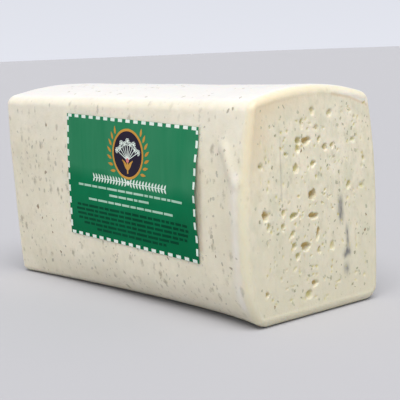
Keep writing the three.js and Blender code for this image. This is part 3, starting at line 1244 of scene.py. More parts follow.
@dataclass(frozen=True)
class PasteFinish:
    """Ivory paste of the cheese, satin where the mould and film pressed it, matt where cut."""

    light: Colour = (0.84, 0.78, 0.615)
    deep: Colour = (0.725, 0.668, 0.50)
    green: Colour = (0.585, 0.585, 0.42)
    tan: Colour = (0.73, 0.63, 0.435)
    lip: Colour = (0.71, 0.67, 0.475)
    # Colour of the painted shade toward the foot of the cut.
    painted_foot_shade: Colour = (0.64, 0.60, 0.45)
    # Colour of the painted sheen on the top and upper walls, and of the painted highlight above the
    # crease.
    painted_sheen: Colour = (0.875, 0.868, 0.865)
    # Colour of the painted shade along the crease.
    fold: Colour = (0.62, 0.47, 0.27)
    # Colour of the painted shadow beside the label's lifted edge.
    shaded: Colour = (0.52, 0.42, 0.31)
    stain: Colour = (0.10, 0.105, 0.12)
    herb: Colour = (0.33, 0.29, 0.19)
    # Colour of the painted sheen band at the label wall's turn to the cut.
    sheen_band: Colour = (0.86, 0.84, 0.87)
    # Insides of the eyes: partly their own colour, partly painted shade.
    eye_pale: Colour = (0.74, 0.68, 0.40)
    eye_olive: Colour = (0.66, 0.60, 0.28)
    eye_brown: Colour = (0.60, 0.45, 0.18)
    painted_shade_share: float = 0.45
    sheen_band_share: float = 0.45
    label_shadow_share: float = 0.6
    rim_highlight_share: float = 0.38
    crease_shade_share: float = 0.6
    lip_share: float = 3.2
    painted_sheen_high: float = 0.15
    painted_sheen_top: float = 0.5
    painted_sheen_power: float = 3.0
    low_shade: float = 0.95
    low_shade_height: float = 0.09
    speck_kinds: tuple[tuple[float, float, float], ...] = (
        (120.0, 0.75, 0.27), (210.0, 0.5, 0.28), (380.0, 0.3, 0.28),
    )
    speck_squash: float = 0.62
    speck_pull: float = 0.45
    speck_strength: tuple[float, float] = (0.2, 0.75)
    roughness: tuple[float, float] = (0.42, 0.56)
    cut_roughness: float = 0.06
    coat: tuple[float, float] = (0.35, 0.08)
    top_coat: float = 0.6
    coat_roughness: float = 0.32
    glow: float = 0.25
    glow_radius: Colour = (1.0, 0.62, 0.34)
    glow_depth: float = 0.004
    grain_depth: float = 0.00025
    grain_strength: float = 0.55

    def build(self, mottle: bpy.types.NodeTree) -> bpy.types.Material:
        """The material, from masks held by the mesh and noise in object space.

        Args:
            mottle: the shared cloudy variation.

        Returns:
            The material.
        """
        material, shader, paste = start_material("havarti_paste")
        cut, top = shader.attribute("cut"), shader.attribute("top")
        cloud = shader.use_group(mottle, Broad=28.0, Fine=210.0, Balance=0.4).outputs["Cloud"]
        colour = shader.mix(cloud, self.deep, self.light)
        colour = self.herbs_and_shade(shader, colour, cut, top)
        colour = self.painted_light_and_rind(shader, colour, cut, top)
        colour = self.opened(shader, colour)
        shader.feed(paste.inputs["Base Color"], colour)
        patches = shader.noise(shader.object_space(), 160, 3)
        rough = shader.between(patches, 0.35, 0.7, *self.roughness)
        cut_rough = shader.times(cut, self.cut_roughness)
        shader.feed(paste.inputs["Roughness"], shader.plus(rough, cut_rough))
        satin = shader.times(top, self.top_coat)
        coat = shader.plus(shader.between(cut, 0, 1, *self.coat), satin)
        shader.feed(paste.inputs["Coat Weight"], coat)
        paste.inputs["Coat Roughness"].default_value = self.coat_roughness
        paste.inputs["Subsurface Weight"].default_value = self.glow
        paste.inputs["Subsurface Radius"].default_value = self.glow_radius
        paste.inputs["Subsurface Scale"].default_value = self.glow_depth
        shader.feed(paste.inputs["Normal"], self.grain(shader, cut))
        return material

    def herbs_and_shade(self, shader: Shader, colour: bpy.types.NodeSocket, cut: bpy.types.NodeSocket,
               top: bpy.types.NodeSocket) -> bpy.types.NodeSocket:
        """The colour with green blotches, a patch of painted shade beside the cut end, and herb
        specks, fewer on the top and the cut.

        Args:
            shader: the material's nodes.
            colour: the colour so far.
            cut: the mask of the cut face.
            top: the mask of the top.

        Returns:
            The new colour.
        """
        blotches = shader.noise(shader.object_space((1, 1, 0.6)), 135, 5, 0.62)
        blotches = shader.between(blotches, 0.42, 0.68, 0.0, 0.62)
        blotches = shader.times(blotches, shader.between(cut, 0, 1, 0.3, 1.0))
        colour = shader.mix(blotches, colour, self.green)
        # Painted shade on the patch beside the cut end.
        colour = shader.tint(colour, "painted_shade", self.painted_shade_share, self.deep)
        wall = shader.between(cut, 0, 1, 1.0, 0.4)
        wall = shader.times(wall, shader.between(top, 0, 1, 1.0, 0.35))
        for per_metre, share, size in self.speck_kinds:
            specks = shader.times(self.specks(shader, per_metre, share, size), wall)
            colour = shader.mix(specks, colour, self.herb)
        return colour

    def painted_light_and_rind(self, shader: Shader, colour: bpy.types.NodeSocket, cut: bpy.types.NodeSocket,
             top: bpy.types.NodeSocket) -> bpy.types.NodeSocket:
        """The colour with painted light and shade on the edges, the foot, the top and the rim, the
        rind's tan near the rim, and a darker, yellower turn from the cut to the walls.

        Args:
            shader: the material's nodes.
            colour: the colour so far.
            cut: the mask of the cut face.
            top: the mask of the top.

        Returns:
            The new colour.
        """
        # Painted sheen: a pale band at the label wall's turn to the cut.
        colour = shader.tint(colour, "sheen_band", self.sheen_band_share, self.sheen_band)
        turned = shader.times(cut, shader.math("SUBTRACT", 1.0, cut))
        turned = shader.times(turned, self.lip_share, clamp=True)
        colour = shader.mix(turned, colour, self.lip)
        # Painted shade: the cut face darkens toward its foot.
        low = shader.between(shader.height(), 0.0, self.low_shade_height, self.low_shade, 0.0)
        colour = shader.mix(shader.times(cut, low), colour, self.painted_foot_shade)
        # Painted shadow of the label's lifted edge.
        colour = shader.tint(colour, "strip", self.label_shadow_share, self.shaded)
        # Painted sheen: the upper walls and the top are mixed toward a pale colour.
        high = shader.times(shader.attribute("high"), self.painted_sheen_high)
        level = shader.math("POWER", top, self.painted_sheen_power)
        painted_sheen = shader.plus(high, shader.times(level, self.painted_sheen_top))
        colour = shader.mix(painted_sheen, colour, self.painted_sheen)
        # The rind's tan near the cut's rim, partly painted shade.
        colour = shader.mix(shader.attribute("rind_and_shade"), colour, self.tan)
        # Painted highlight on the rim above the crease.
        colour = shader.tint(colour, "rim_highlight", self.rim_highlight_share, self.painted_sheen)
        # Painted shade along the crease.
        return shader.tint(colour, "crease_shade", self.crease_shade_share, self.fold)

    def opened(self, shader: Shader, colour: bpy.types.NodeSocket) -> bpy.types.NodeSocket:
        """The colour with the smears of the cut and the insides of its eyes, partly their own
        colour and partly painted shade.

        Args:
            shader: the material's nodes.
            colour: the colour so far.

        Returns:
            The new colour.
        """
        streaks = shader.noise(shader.object_space((1, 1, 0.25)), 700, 3)
        streaks = shader.between(streaks, 0.3, 0.65, 0.55, 1.0)
        stain = shader.times(shader.attribute("stain"), streaks)
        colour = shader.mix(stain, colour, self.stain)
        tone = shader.attribute("eye_tone")
        olive, brown = OLIVE.value, BROWN.value
        inner = shader.mix(shader.between(tone, 0.1, olive), self.eye_pale, self.eye_olive)
        inner = shader.mix(shader.between(tone, olive, brown), inner, self.eye_brown)
        return shader.mix(shader.attribute("eye_inside_shade"), colour, inner)

    def specks(self, shader: Shader, per_metre: float, share: float, size: float
               ) -> bpy.types.NodeSocket:
        """Mask of soft herb specks: the cores of some of the cells of a ragged cell pattern.

        Args:
            shader: the material's nodes.
            per_metre: cells in a metre.
            share: share of the cells that hold a speck.
            size: a speck's radius, as a share of its cell.

        Returns:
            The mask, from 0 to the upper speck strength.
        """
        ragged = shader.node("ShaderNodeTexNoise")
        shader.feed(ragged.inputs["Vector"], shader.object_space())
        ragged.inputs["Scale"].default_value = per_metre * 4
        pull = shader.node("ShaderNodeVectorMath", operation="MULTIPLY_ADD")
        shader.feed(pull.inputs[0], ragged.outputs["Color"])
        pull.inputs[1].default_value = (self.speck_pull / per_metre,) * 3
        shader.feed(pull.inputs[2], shader.object_space((1.0, 1.0, self.speck_squash)))
        cells = shader.node("ShaderNodeTexVoronoi")
        shader.feed(cells.inputs["Vector"], pull.outputs["Vector"])
        cells.inputs["Scale"].default_value = per_metre
        core = shader.between(cells.outputs["Distance"], size * 0.3, size, 1.0, 0.0)
        parted = shader.node("ShaderNodeSeparateColor")
        shader.feed(parted.inputs[0], cells.outputs["Color"])
        chosen = shader.math("LESS_THAN", parted.outputs[0], share)
        strength = shader.between(parted.outputs[1], 0, 1, *self.speck_strength)
        return shader.times(shader.times(core, chosen), strength)

    def grain(self, shader: Shader, cut: bpy.types.NodeSocket) -> bpy.types.NodeSocket:
        """Normals of the paste's grain, with upright knife drags on the cut.

        Args:
            shader: the material's nodes.
            cut: the mask of the cut face.

        Returns:
            The normals.
        """
        fine = shader.noise(shader.object_space(), 900, 4, 0.6)
        swell = shader.times(shader.noise(shader.object_space(), 150, 3), 2.2)
        fine = shader.plus(fine, swell)
        drags = shader.noise(shader.object_space((1, 1, 0.06)), 420, 3)
        drags = shader.times(drags, shader.times(cut, 1.2))
        return shader.bump(shader.plus(fine, drags), self.grain_depth, self.grain_strength)


@dataclass(frozen=True)
class HerbFinish:
    """Dried dill under the skin or open on the cut: two tones of grey-brown, a few brown."""

    name: str
    light: Colour
    dark: Colour
    brown: Colour = (0.23, 0.13, 0.05)

    def build(self, mottle: bpy.types.NodeTree) -> bpy.types.Material:
        """The material; each flake's own tone chooses its colour.

        Args:
            mottle: the shared cloudy variation.

        Returns:
            The material.
        """
        material, shader, herb = start_material(self.name)
        tone = shader.attribute("tone")
        colour = shader.mix(shader.between(tone, 0.0, 0.85), self.light, self.dark)
        colour = shader.mix(shader.between(tone, 0.93, 0.97), colour, self.brown)
        cloud = shader.use_group(mottle, Broad=400.0, Fine=1500.0, Balance=0.5).outputs["Cloud"]
        faded = shader.mix(shader.times(cloud, 0.35), colour, self.light)
        shader.feed(herb.inputs["Base Color"], faded)
        shader.feed(herb.inputs["Roughness"], shader.between(cloud, 0, 1, 0.5, 0.7))
        return material


@dataclass(frozen=True)
class FilmFinish:
    """Glossy film of the label, or the ink on it.

    A film with a painted reflection, a paler colour over its upper part, is also painted in shade
    toward its foot, between two heights in metres.
    """

    name: str
    ink: Colour
    faded: Colour
    gloss: float = 0.02
    rough: float = 0.2
    reflected_colour: Colour | None = None
    # Painted shade: the film darkens to this colour toward its foot.
    foot: Colour = (0.0005, 0.100, 0.036)
    foot_shade_share: float = 0.5
    foot_shade_heights: tuple[float, float] = (0.044, 0.068)
    ripples: float = 55.0
    ripple_depth: float = 0.0006
    ripple_strength: float = 0.6

    def build(self, film: bpy.types.NodeTree) -> bpy.types.Material:
        """The material, its ripples and roughness from the shared film.

        Args:
            film: the shared film ripples.

        Returns:
            The material.
        """
        material, shader, sheet = start_material(self.name)
        made = shader.use_group(film, Ripples=self.ripples, Roughness=self.rough)
        patchy = shader.noise(shader.object_space((1, 1, 0.5)), 45, 3)
        colour = shader.mix(shader.between(patchy, 0.35, 0.7), self.ink, self.faded)
        # Painted reflection: the film's upper part is mixed toward a paler colour in upright
        # streaks.
        if self.reflected_colour is not None:
            streaks = shader.noise(shader.object_space((1, 1, 0.08)), 120, 3)
            streaks = shader.between(streaks, 0.32, 0.68, 0.58, 1.05)
            reflection_share = shader.times(shader.attribute("painted_reflection"), streaks)
            colour = shader.mix(reflection_share, colour, self.reflected_colour)
            # Painted shade toward the film's foot.
            low = shader.between(shader.height(), *self.foot_shade_heights, self.foot_shade_share, 0.0)
            colour = shader.mix(low, colour, self.foot)
        shader.feed(sheet.inputs["Base Color"], colour)
        shader.feed(sheet.inputs["Roughness"], made.outputs["Rough"])
        ripple = shader.bump(made.outputs["Height"], self.ripple_depth, self.ripple_strength)
        shader.feed(sheet.inputs["Normal"], ripple)
        sheet.inputs["Specular IOR Level"].default_value = self.gloss
        return material


# Each placed flake's place (u, v), length, width, turn in degrees and tone.
WALL_FLAKES = (
    (111.1, 126.0, 3.8, 1.7, 60, 0.9),
    (114.7, 127.6, 2.2, 1.6, 80, 0.8),
    (-80.8, 78.7, 3.6, 2.2, 20, 0.95),
    (101.0, 51.0, 3.4, 1.8, 95, 0.7),
    (99.0, 75.0, 2.8, 1.6, 80, 0.6),
    (108.0, 38.0, 3.0, 1.5, 100, 0.7),
    (-96.0, 96.0, 3.2, 1.8, 70, 0.7),
    (-110.0, 60.0, 3.0, 1.8, 90, 0.6),
)
CUT_FLAKES = (
    (-32.7, 54.1, 3.0, 1.7, 20, 0.9),
    (-20.3, 18.4, 2.2, 2.0, 90, 0.88),
    (43.1, 46.0, 2.2, 1.5, 90, 0.98),
    (33.3, 33.2, 2.2, 1.7, 70, 0.9),
    (-47.0, 63.0, 2.6, 1.5, 90, 0.85),
    (20.0, 85.0, 2.8, 1.5, 95, 0.7),
)


@dataclass
class HerbFlakes:
    """Flakes of dill strewn over one face of the loaf, and some listed one by one.

    Outward is -1 where the surface's two directions turn the faces inward.
    """

    name: str
    surface: Callable[[Array, Array, Array], Array]
    reach_u: tuple[float, float]
    reach_v: tuple[float, float]
    count: int
    seed: int
    upright: float
    length: tuple[float, float] = (1.1, 4.8)
    smallness: tuple[float, float] = (1.4, 3.2)
    slimness: tuple[float, float] = (0.35, 0.8)
    raggedness: tuple[float, float] = (0.55, 1.3)
    sides: int = 9
    proud: float = 0.03
    sunk: float = 0.15
    outward: float = 1.0
    keep_off: Callable[[Array, Array], Array] | None = None
    placed: Sequence[tuple[float, float, float, float, float, float]] = ()

    def mesh(self, loaf: Loaf) -> bpy.types.Mesh:
        """All flakes as one mesh: each a flat scrap with an uneven outline.

        A flake's rim point k is (l cos t_k, w sin t_k) r_k, turned by the flake's own angle, and
        its middle stands a little higher than its rim.

        Args:
            loaf: gives the change to metres.

        Returns:
            The mesh, with the attribute tone.
        """
        random = np.random.default_rng(self.seed)
        u = random.uniform(*self.reach_u, self.count)
        v = random.uniform(*self.reach_v, self.count)
        if self.keep_off is not None:
            kept = ~self.keep_off(u, v)
            u, v = u[kept], v[kept]
        count = len(u)
        small = random.beta(*self.smallness, count)
        half_length = (self.length[0] + (self.length[1] - self.length[0]) * small) / 2
        half_width = half_length * random.uniform(*self.slimness, count)
        spread = (1 - self.upright) * math.pi / 2
        turn = math.pi / 2 + random.normal(0, spread, count)
        tones = random.uniform(0, 1, count)
        if self.placed:
            by_hand = np.array(self.placed).T
            u, v = np.append(u, by_hand[0]), np.append(v, by_hand[1])
            half_length = np.append(half_length, by_hand[2] / 2)
            half_width = np.append(half_width, by_hand[3] / 2)
            turn = np.append(turn, np.radians(by_hand[4]))
            tones = np.append(tones, by_hand[5])
            count = len(u)
        around = np.linspace(0, 2 * math.pi, self.sides, endpoint=False)
        uneven = random.uniform(*self.raggedness, (count, self.sides))
        a = half_length[:, None] * np.cos(around) * uneven
        b = half_width[:, None] * np.sin(around) * uneven
        rim_u = u[:, None] + a * np.cos(turn)[:, None] - b * np.sin(turn)[:, None]
        rim_v = v[:, None] + a * np.sin(turn)[:, None] + b * np.cos(turn)[:, None]
        rim = self.surface(rim_u, rim_v, np.full_like(rim_u, self.proud / 2))
        top = self.surface(u, v, np.full(count, self.proud))
        under = self.surface(u, v, np.full(count, -self.sunk))
        points = np.concatenate([rim, top[:, None], under[:, None]], 1)
        each = self.sides + 2
        first = (np.arange(count) * each)[:, None]
        side = np.arange(self.sides)
        following = (side + 1) % self.sides
        here, there, hub = first + side, first + following, first + self.sides
        upper = np.stack(np.broadcast_arrays(hub, here, there), -1)
        lower = np.stack(np.broadcast_arrays(hub + 1, there, here), -1)
        triangles = np.concatenate([upper.reshape(-1, 3), lower.reshape(-1, 3)])
        if self.outward < 0:
            triangles = triangles[:, ::-1]
        whole = loaf.to_frame(points.reshape(-1, 3))
        mesh = new_mesh(self.name, whole, NO_FACES_4, triangles, FOLD_ANGLE)
        set_values(mesh, "tone", np.repeat(tones, each))
        return mesh


@dataclass
class Label:
    """The printed sheet: its corners on the wall, how it lifts, and the print laid out on it."""

    loaf: Loaf
    foot_left: tuple[float, float] = (-51.7, 38.8)
    foot_right: tuple[float, float] = (87.8, 35.3)
    head_left: tuple[float, float] = (-48.8, 121.6)
    head_right: tuple[float, float] = (87.8, 116.3)
    width: float = 137.0
    height: float = 82.0
    standoff: float = 0.35
    thickness: float = 0.16
    lift_height: float = 1.8
    lift_start: float = 0.78
    lift_level: float = 0.5
    lift_spread: float = 0.28
    flutter: float = 0.25
    flutter_waves: float = 4.3
    # Painted reflection: a pale glare over the film's upper part, above a border that falls to the
    # right.
    reflection_foot: float = 42.0
    reflection_fall: float = 5.0
    reflection_waves: tuple[tuple[float, float, float], ...] = ((3.0, 17.0, 0.0), (1.5, 6.1, 1.0))
    reflection_ease: float = 9.0
    reflection_power: float = 1.3
    ink_step: float = 0.035
    ink_thickness: float = 0.02
    dash: float = 4.4
    dash_gap: float = 3.7
    border: float = 2.1

    def on_wall(self, p: Array, q: Array, rise: float) -> Array:
        """Points over the wall from places on the flat label.

        Args:
            p: distance from the label's left edge.
            q: distance from its foot.
            rise: distance off the underside of the sheet.

        Returns:
            The points, of shape (..., 3).
        """
        s, t = p / self.width, q / self.height
        foot = [a + (b - a) * s for a, b in zip(self.foot_left, self.foot_right)]
        head = [a + (b - a) * s for a, b in zip(self.head_left, self.head_right)]
        along = foot[0] + (head[0] - foot[0]) * t
        up = foot[1] + (head[1] - foot[1]) * t
        lifted = np.clip((s - self.lift_start) / (1 - self.lift_start), 0, 1) ** 2
        lift = self.lift_height * lifted * bell(t - self.lift_level, self.lift_spread)
        flutter = self.flutter * lifted * (1 + np.sin(2 * math.pi * t * self.flutter_waves))
        return self.loaf.label_wall(along, up, self.standoff + lift + flutter + rise)

    def covers(self, along: Array, up: Array) -> Array:
        """Whether places on the wall lie under the label.

        Args:
            along: along the loaf, in millimetres.
            up: height above the table.

        Returns:
            True where the label covers the wall.
        """
        s = (along - self.foot_left[0]) / (self.foot_right[0] - self.foot_left[0])
        foot = self.foot_left[1] + (self.foot_right[1] - self.foot_left[1]) * s
        head = self.head_left[1] + (self.head_right[1] - self.head_left[1]) * s
        return (s > 0) & (s < 1) & (up > foot) & (up < head)

    def sheet_mesh(self, columns: int = 138, rows: int = 62) -> bpy.types.Mesh:
        """The bare sheet: an upper and a lower grid joined around their edge.

        Args:
            columns: points across the label.
            rows: points up it.

        Returns:
            The closed mesh.
        """
        p, q = np.meshgrid(np.linspace(0, self.width, columns), np.linspace(0, self.height, rows))
        upper = self.on_wall(p, q, self.thickness).reshape(-1, 3)
        lower = self.on_wall(p, q, 0).reshape(-1, 3)
        quads = slab_faces(rows, columns)
        points = self.loaf.to_frame(np.concatenate([upper, lower]))
        mesh = new_mesh("label_sheet", points, quads, NO_FACES_3, FOLD_ANGLE)
        set_values(mesh, "painted_reflection", np.tile(self.painted_reflection(p, q).ravel(), 2))
        return mesh

    def painted_reflection(self, p: Array, q: Array) -> Array:
        """Painted reflection: a pale glare on the upper part of the film, ending in a soft uneven
        border.

        The border falls toward the right and swings by sines, each given by its size, length
        and phase.

        Args:
            p: distance from the label's left edge.
            q: distance from its foot.

        Returns:
            The painted reflection's strength, from 0 to 1.
        """
        level = self.reflection_foot - self.reflection_fall * p / self.width
        for size, length, phase in self.reflection_waves:
            level = level + size * np.sin(p / length + phase)
        return np.clip((q - level) / self.reflection_ease + 0.5, 0, 1) ** self.reflection_power

    def ink_mesh(self, name: str, strips: Sequence[Array], layer: int) -> bpy.types.Mesh:
        """Printed shapes as one mesh laid on the sheet.

        Args:
            name: the mesh's name.
            strips: each shape as a grid of places on the label, of shape (rows, columns, 2).
            layer: how many layers of ink lie between it and the sheet, plus one.

        Returns:
            The mesh, a thin closed slab for each shape.
        """
        top = self.thickness + layer * self.ink_step
        points, quads, first = [], [], 0
        for strip in map(facing_reader, strips):
            quads.append(slab_faces(*strip.shape[:2], first))
            for rise in (top, top - self.ink_thickness):
                points.append(self.on_wall(strip[..., 0], strip[..., 1], rise).reshape(-1, 3))
            first += 2 * strip.shape[0] * strip.shape[1]
        whole = self.loaf.to_frame(np.concatenate(points))
        return new_mesh(name, whole, np.concatenate(quads), NO_FACES_3, FOLD_ANGLE)


def facing_reader(strip: Array) -> Array:
    """The strip's grid, its columns reversed where it would be wound away from the reader.

    The winding is the sum of the cross products of the steps along and across the grid.

    Args:
        strip: places on the label, of shape (rows, columns, 2).

    Returns:
        The grid, wound as the faces of a slab need it.
    """
    down = strip[1:, :-1] - strip[:-1, :-1]
    across = strip[:-1, 1:] - strip[:-1, :-1]
    winding = (across[..., 0] * down[..., 1] - across[..., 1] * down[..., 0]).sum()
    return strip if winding > 0 else strip[:, ::-1]


def away(start: Sequence[float], distance: float, turn: float) -> tuple[float, float]:
    """The place at a distance from a start, in the direction of a turn in radians."""
    return start[0] + distance * math.cos(turn), start[1] + distance * math.sin(turn)


def strip_between(left: Array, right: Array, columns: int = 3) -> Array:
    """Grid between two edges, both given as the same number of points.

    Args:
        left: points of one edge, of shape (n, 2).
        right: points of the other.
        columns: points across the strip.

    Returns:
        The grid, of shape (n, columns, 2).
    """
    share = np.linspace(0, 1, columns)[None, :, None]
    return left[:, None] * (1 - share) + right[:, None] * share


def bar(left: float, foot: float, width: float, height: float, step: float = 1.3) -> Array:
    """An upright rectangle, as a strip with a point every step along its width.

    Args:
        left: its left edge.
        foot: its foot.
        width: its width.
        height: its height.
        step: most distance between two points.

    Returns:
        The strip.
    """
    count = max(2, int(math.ceil(width / step)) + 1)
    p = np.linspace(left, left + width, count)
    low = np.stack([p, np.full(count, foot)], -1)
    high = np.stack([p, np.full(count, foot + height)], -1)
    return strip_between(high, low, max(2, int(math.ceil(height / step)) + 1))


def disc(middle: Sequence[float], radius: float, rows: int = 13) -> Array:
    """A filled circle, as a strip between its left and right halves.

    Args:
        middle: its middle.
        radius: its radius.
        rows: rows of points from its top to its foot.

    Returns:
        The strip.
    """
    turn = np.linspace(DISC_POLE, math.pi - DISC_POLE, rows)
    p, q = radius * np.sin(turn), radius * np.cos(turn)
    left = np.stack([middle[0] - p, middle[1] + q], -1)
    right = np.stack([middle[0] + p, middle[1] + q], -1)
    return strip_between(left, right, max(3, int(radius * 1.5)))


# A ring stays open by this angle, a hair, so that its two ends share no edge.
RING_GAP = 0.0004
# A disc's rows start this angle off its poles, and a leaf's at these shares of its length.
DISC_POLE = 0.04
LEAF_SPAN = (0.02, 0.98)


def ring(middle: Sequence[float], inner: float, outer: float, rows: int = 81) -> Array:
    """A circular band with a hair's gap, as a strip between two circles.

    Args:
        middle: its middle.
        inner: its inner radius.
        outer: its outer radius.
        rows: rows of points around it.

    Returns:
        The strip.
    """
    turn = np.linspace(0, 2 * math.pi - RING_GAP, rows)
    way = np.stack([np.sin(turn), np.cos(turn)], -1)
    centre = np.array(middle)
    return strip_between(centre + inner * way, centre + outer * way, 3)


def leaf(root: Sequence[float], length: float, width: float, angle: float, rows: int = 7) -> Array:
    """A pointed leaf: a strip whose half-width is width / 2 * sin(pi s^0.8) along its length.

    Args:
        root: where it starts.
        length: its length.
        width: its greatest width.
        angle: its direction in radians.
        rows: rows of points along it.

    Returns:
        The strip.
    """
    s = np.linspace(*LEAF_SPAN, rows)
    way = np.array([math.cos(angle), math.sin(angle)])
    side = np.array([-way[1], way[0]])
    spine = np.array(root) + s[:, None] * length * way
    half = (width / 2 * np.sin(math.pi * s**0.8))[:, None]
    return strip_between(spine - half * side, spine + half * side)


def stroke(start: Sequence[float], end: Sequence[float], width: float, step: float = 1.3) -> Array:
    """A straight line of a given width, with a point every step along it.

    Args:
        start: where it starts.
        end: where it ends.
        width: its width.
        step: most distance between two points.

    Returns:
        The strip.
    """
    a, b = np.array(start), np.array(end)
    length = np.linalg.norm(b - a)
    way = (b - a) / length
    side = np.array([-way[1], way[0]]) * width / 2
    rows = np.linspace(0, 1, max(2, int(math.ceil(length / step)) + 1))[:, None]
    spine = a + (b - a) * rows
    return strip_between(spine - side, spine + side, 2)


@dataclass
class Print:
    """The label's print: a dashed border, a herb roundel, a sprig, and rows of plain bars.

    Sizes are in millimetres and angles in degrees, but the buds' spread is in radians. A leaf is
    its length and width, a leaf of the stem its drop below the roundel's middle and its angle,
    and a row of bars its foot and width. Dashes start at shares of the border and of the gap.
    """

    label: Label
    roundel: tuple[float, float] = (68.5, 60.0)
    roundel_radius: float = 15.0
    ring_reach: tuple[float, float] = (-0.4, 1.2)
    fork_drop: float = 4.0
    rays: int = 9
    ray_spread: float = 62.0
    ray_lengths: tuple[float, float] = (12.2, 10.4)
    ray_width: float = 0.5
    tuft_radius: float = 0.95
    buds: int = 6
    bud_spread: float = 1.9
    bud_reach: float = 1.6
    bud_radius: float = 0.5
    knot_radius: float = 1.5
    stem_foot: float = 12.5
    stem_width: float = 1.3
    stem_leaves: tuple[tuple[float, float], ...] = ((10.5, 38.0), (8.2, 52.0))
    stem_leaf: tuple[float, float] = (7.5, 1.7)
    wreath_leaves: int = 7
    wreath_spread: float = 42.0
    wreath_gap: float = 2.6
    wreath_leaf: tuple[float, float] = (5.6, 2.0)
    wreath_lean: float = 38.0
    sprig_level: float = 41.5
    sprig_width: float = 76.0
    sprig_stem: float = 0.6
    sprig_knot: float = 1.6
    leaflets: int = 12
    leaflet: tuple[float, float] = (3.4, 1.5)
    leaflet_lean: float = 58.0
    caption_rows: tuple[tuple[float, float], ...] = ((34.6, 112.0), (30.4, 42.0), (25.6, 90.0))
    caption_height: float = 1.45
    fine_rows: tuple[tuple[float, float], ...] = (
        (20.6, 118.0), (17.6, 120.0), (14.6, 118.0), (11.6, 116.0), (8.6, 104.0), (5.6, 74.0),
    )
    fine_height: float = 1.65
    bar_lengths: tuple[float, float] = (3.0, 11.0)
    bar_gap: float = 1.1
    bar_least: float = 1.5
    dash_inset: float = 0.05
    dash_least: float = 1.0
    dash_starts: tuple[float, float] = (0.6, 0.7)
    seed: int = RANDOM_SEED + 20

    def border(self) -> list[Array]:
        """White dashes around the sheet's edge.

        Returns:
            The dashes.
        """
        label, inset = self.label, self.dash_inset
        pitch, thick = label.dash + label.dash_gap, label.border - inset
        shapes = []
        for i in range(int(label.width // pitch) + 1):
            start = i * pitch + label.border * self.dash_starts[0]
            width = min(label.dash, label.width - start)
            if width > self.dash_least:
                shapes.append(bar(start, label.height - label.border, width, thick))
                shapes.append(bar(start, inset, width, thick))
        for i in range(int(label.height // pitch)):
            foot = label.border + label.dash_gap * self.dash_starts[1] + i * pitch
            tall = min(label.dash, label.height - label.border - foot)
            shapes.append(bar(inset, foot, thick, tall))
            shapes.append(bar(label.width - label.border, foot, thick, tall))
        return shapes

    def umbel(self) -> tuple[list[Array], list[Array]]:
        """A dill head: rays from the top of a stem, each ending in a tuft of dots.

        Returns:
            The white shapes, and the gold ones of the stem.
        """
        p, q = self.roundel
        fork = (p, q - self.fork_drop)
        white, gold = [], []
        for i, angle in enumerate(np.linspace(-self.ray_spread, self.ray_spread, self.rays)):
            turn = math.radians(90 - angle)
            tip = away(fork, self.ray_lengths[i % 2], turn)
            white.append(stroke(fork, tip, self.ray_width))
            white.append(disc(tip, self.tuft_radius, 9))
            for bud in np.linspace(turn - self.bud_spread, turn + self.bud_spread, self.buds):
                white.append(disc(away(tip, self.bud_reach, bud), self.bud_radius, 6))
        gold.append(stroke((p, q - self.stem_foot), fork, self.stem_width))
        for side in (-1, 1):
            for drop, angle in self.stem_leaves:
                turn = math.radians(90 - side * angle)
                gold.append(leaf((p, q - drop), *self.stem_leaf, turn))
        return white, gold

    def wreath(self) -> list[Array]:
        """Gold leaves in two arcs beside the roundel.

        Returns:
            The leaves.
        """
        shapes = []
        spread, radius = self.wreath_spread, self.roundel_radius + self.wreath_gap
        for side in (-1, 1):
            for angle in np.linspace(-spread, spread, self.wreath_leaves):
                turn = math.radians(90 - side * 90 + angle)
                lean = turn + side * math.radians(self.wreath_lean)
                shapes.append(leaf(away(self.roundel, radius, turn), *self.wreath_leaf, lean))
        return shapes

    def sprig(self) -> list[Array]:
        """A long white sprig below the roundel: a stem with slanting leaflets.

        Returns:
            The stem, the leaflets and the knot.
        """
        middle, level = self.roundel[0], self.sprig_level
        half = self.sprig_width / 2
        shapes = [stroke((middle - half, level), (middle + half, level), self.sprig_stem)]
        places = np.linspace(2, half - 1, self.leaflets)
        for side in (-1, 1):
            for distance in places:
                root = (middle + side * distance, level)
                for lean in (-1, 1):
                    turn = math.radians(90 - side * 90 + side * lean * self.leaflet_lean)
                    shapes.append(leaf(root, *self.leaflet, turn, 5))
        shapes.append(disc((middle, level), self.sprig_knot, 9))
        return shapes

    def bars(self, rows: Sequence[tuple[float, float]], height: float, seed: int) -> list[Array]:
        """Rows of plain bars of uneven lengths, centred on the label.

        Args:
            rows: each row's foot and width.
            height: the bars' height.
            seed: chooses the lengths.

        Returns:
            The bars.
        """
        random = np.random.default_rng(seed)
        shapes = []
        for foot, width in rows:
            start = self.roundel[0] - width / 2
            end = start + width
            while start < end - self.bar_least:
                long = min(random.uniform(*self.bar_lengths), end - start)
                shapes.append(bar(start, foot, long, height))
                start += long + self.bar_gap
        return shapes

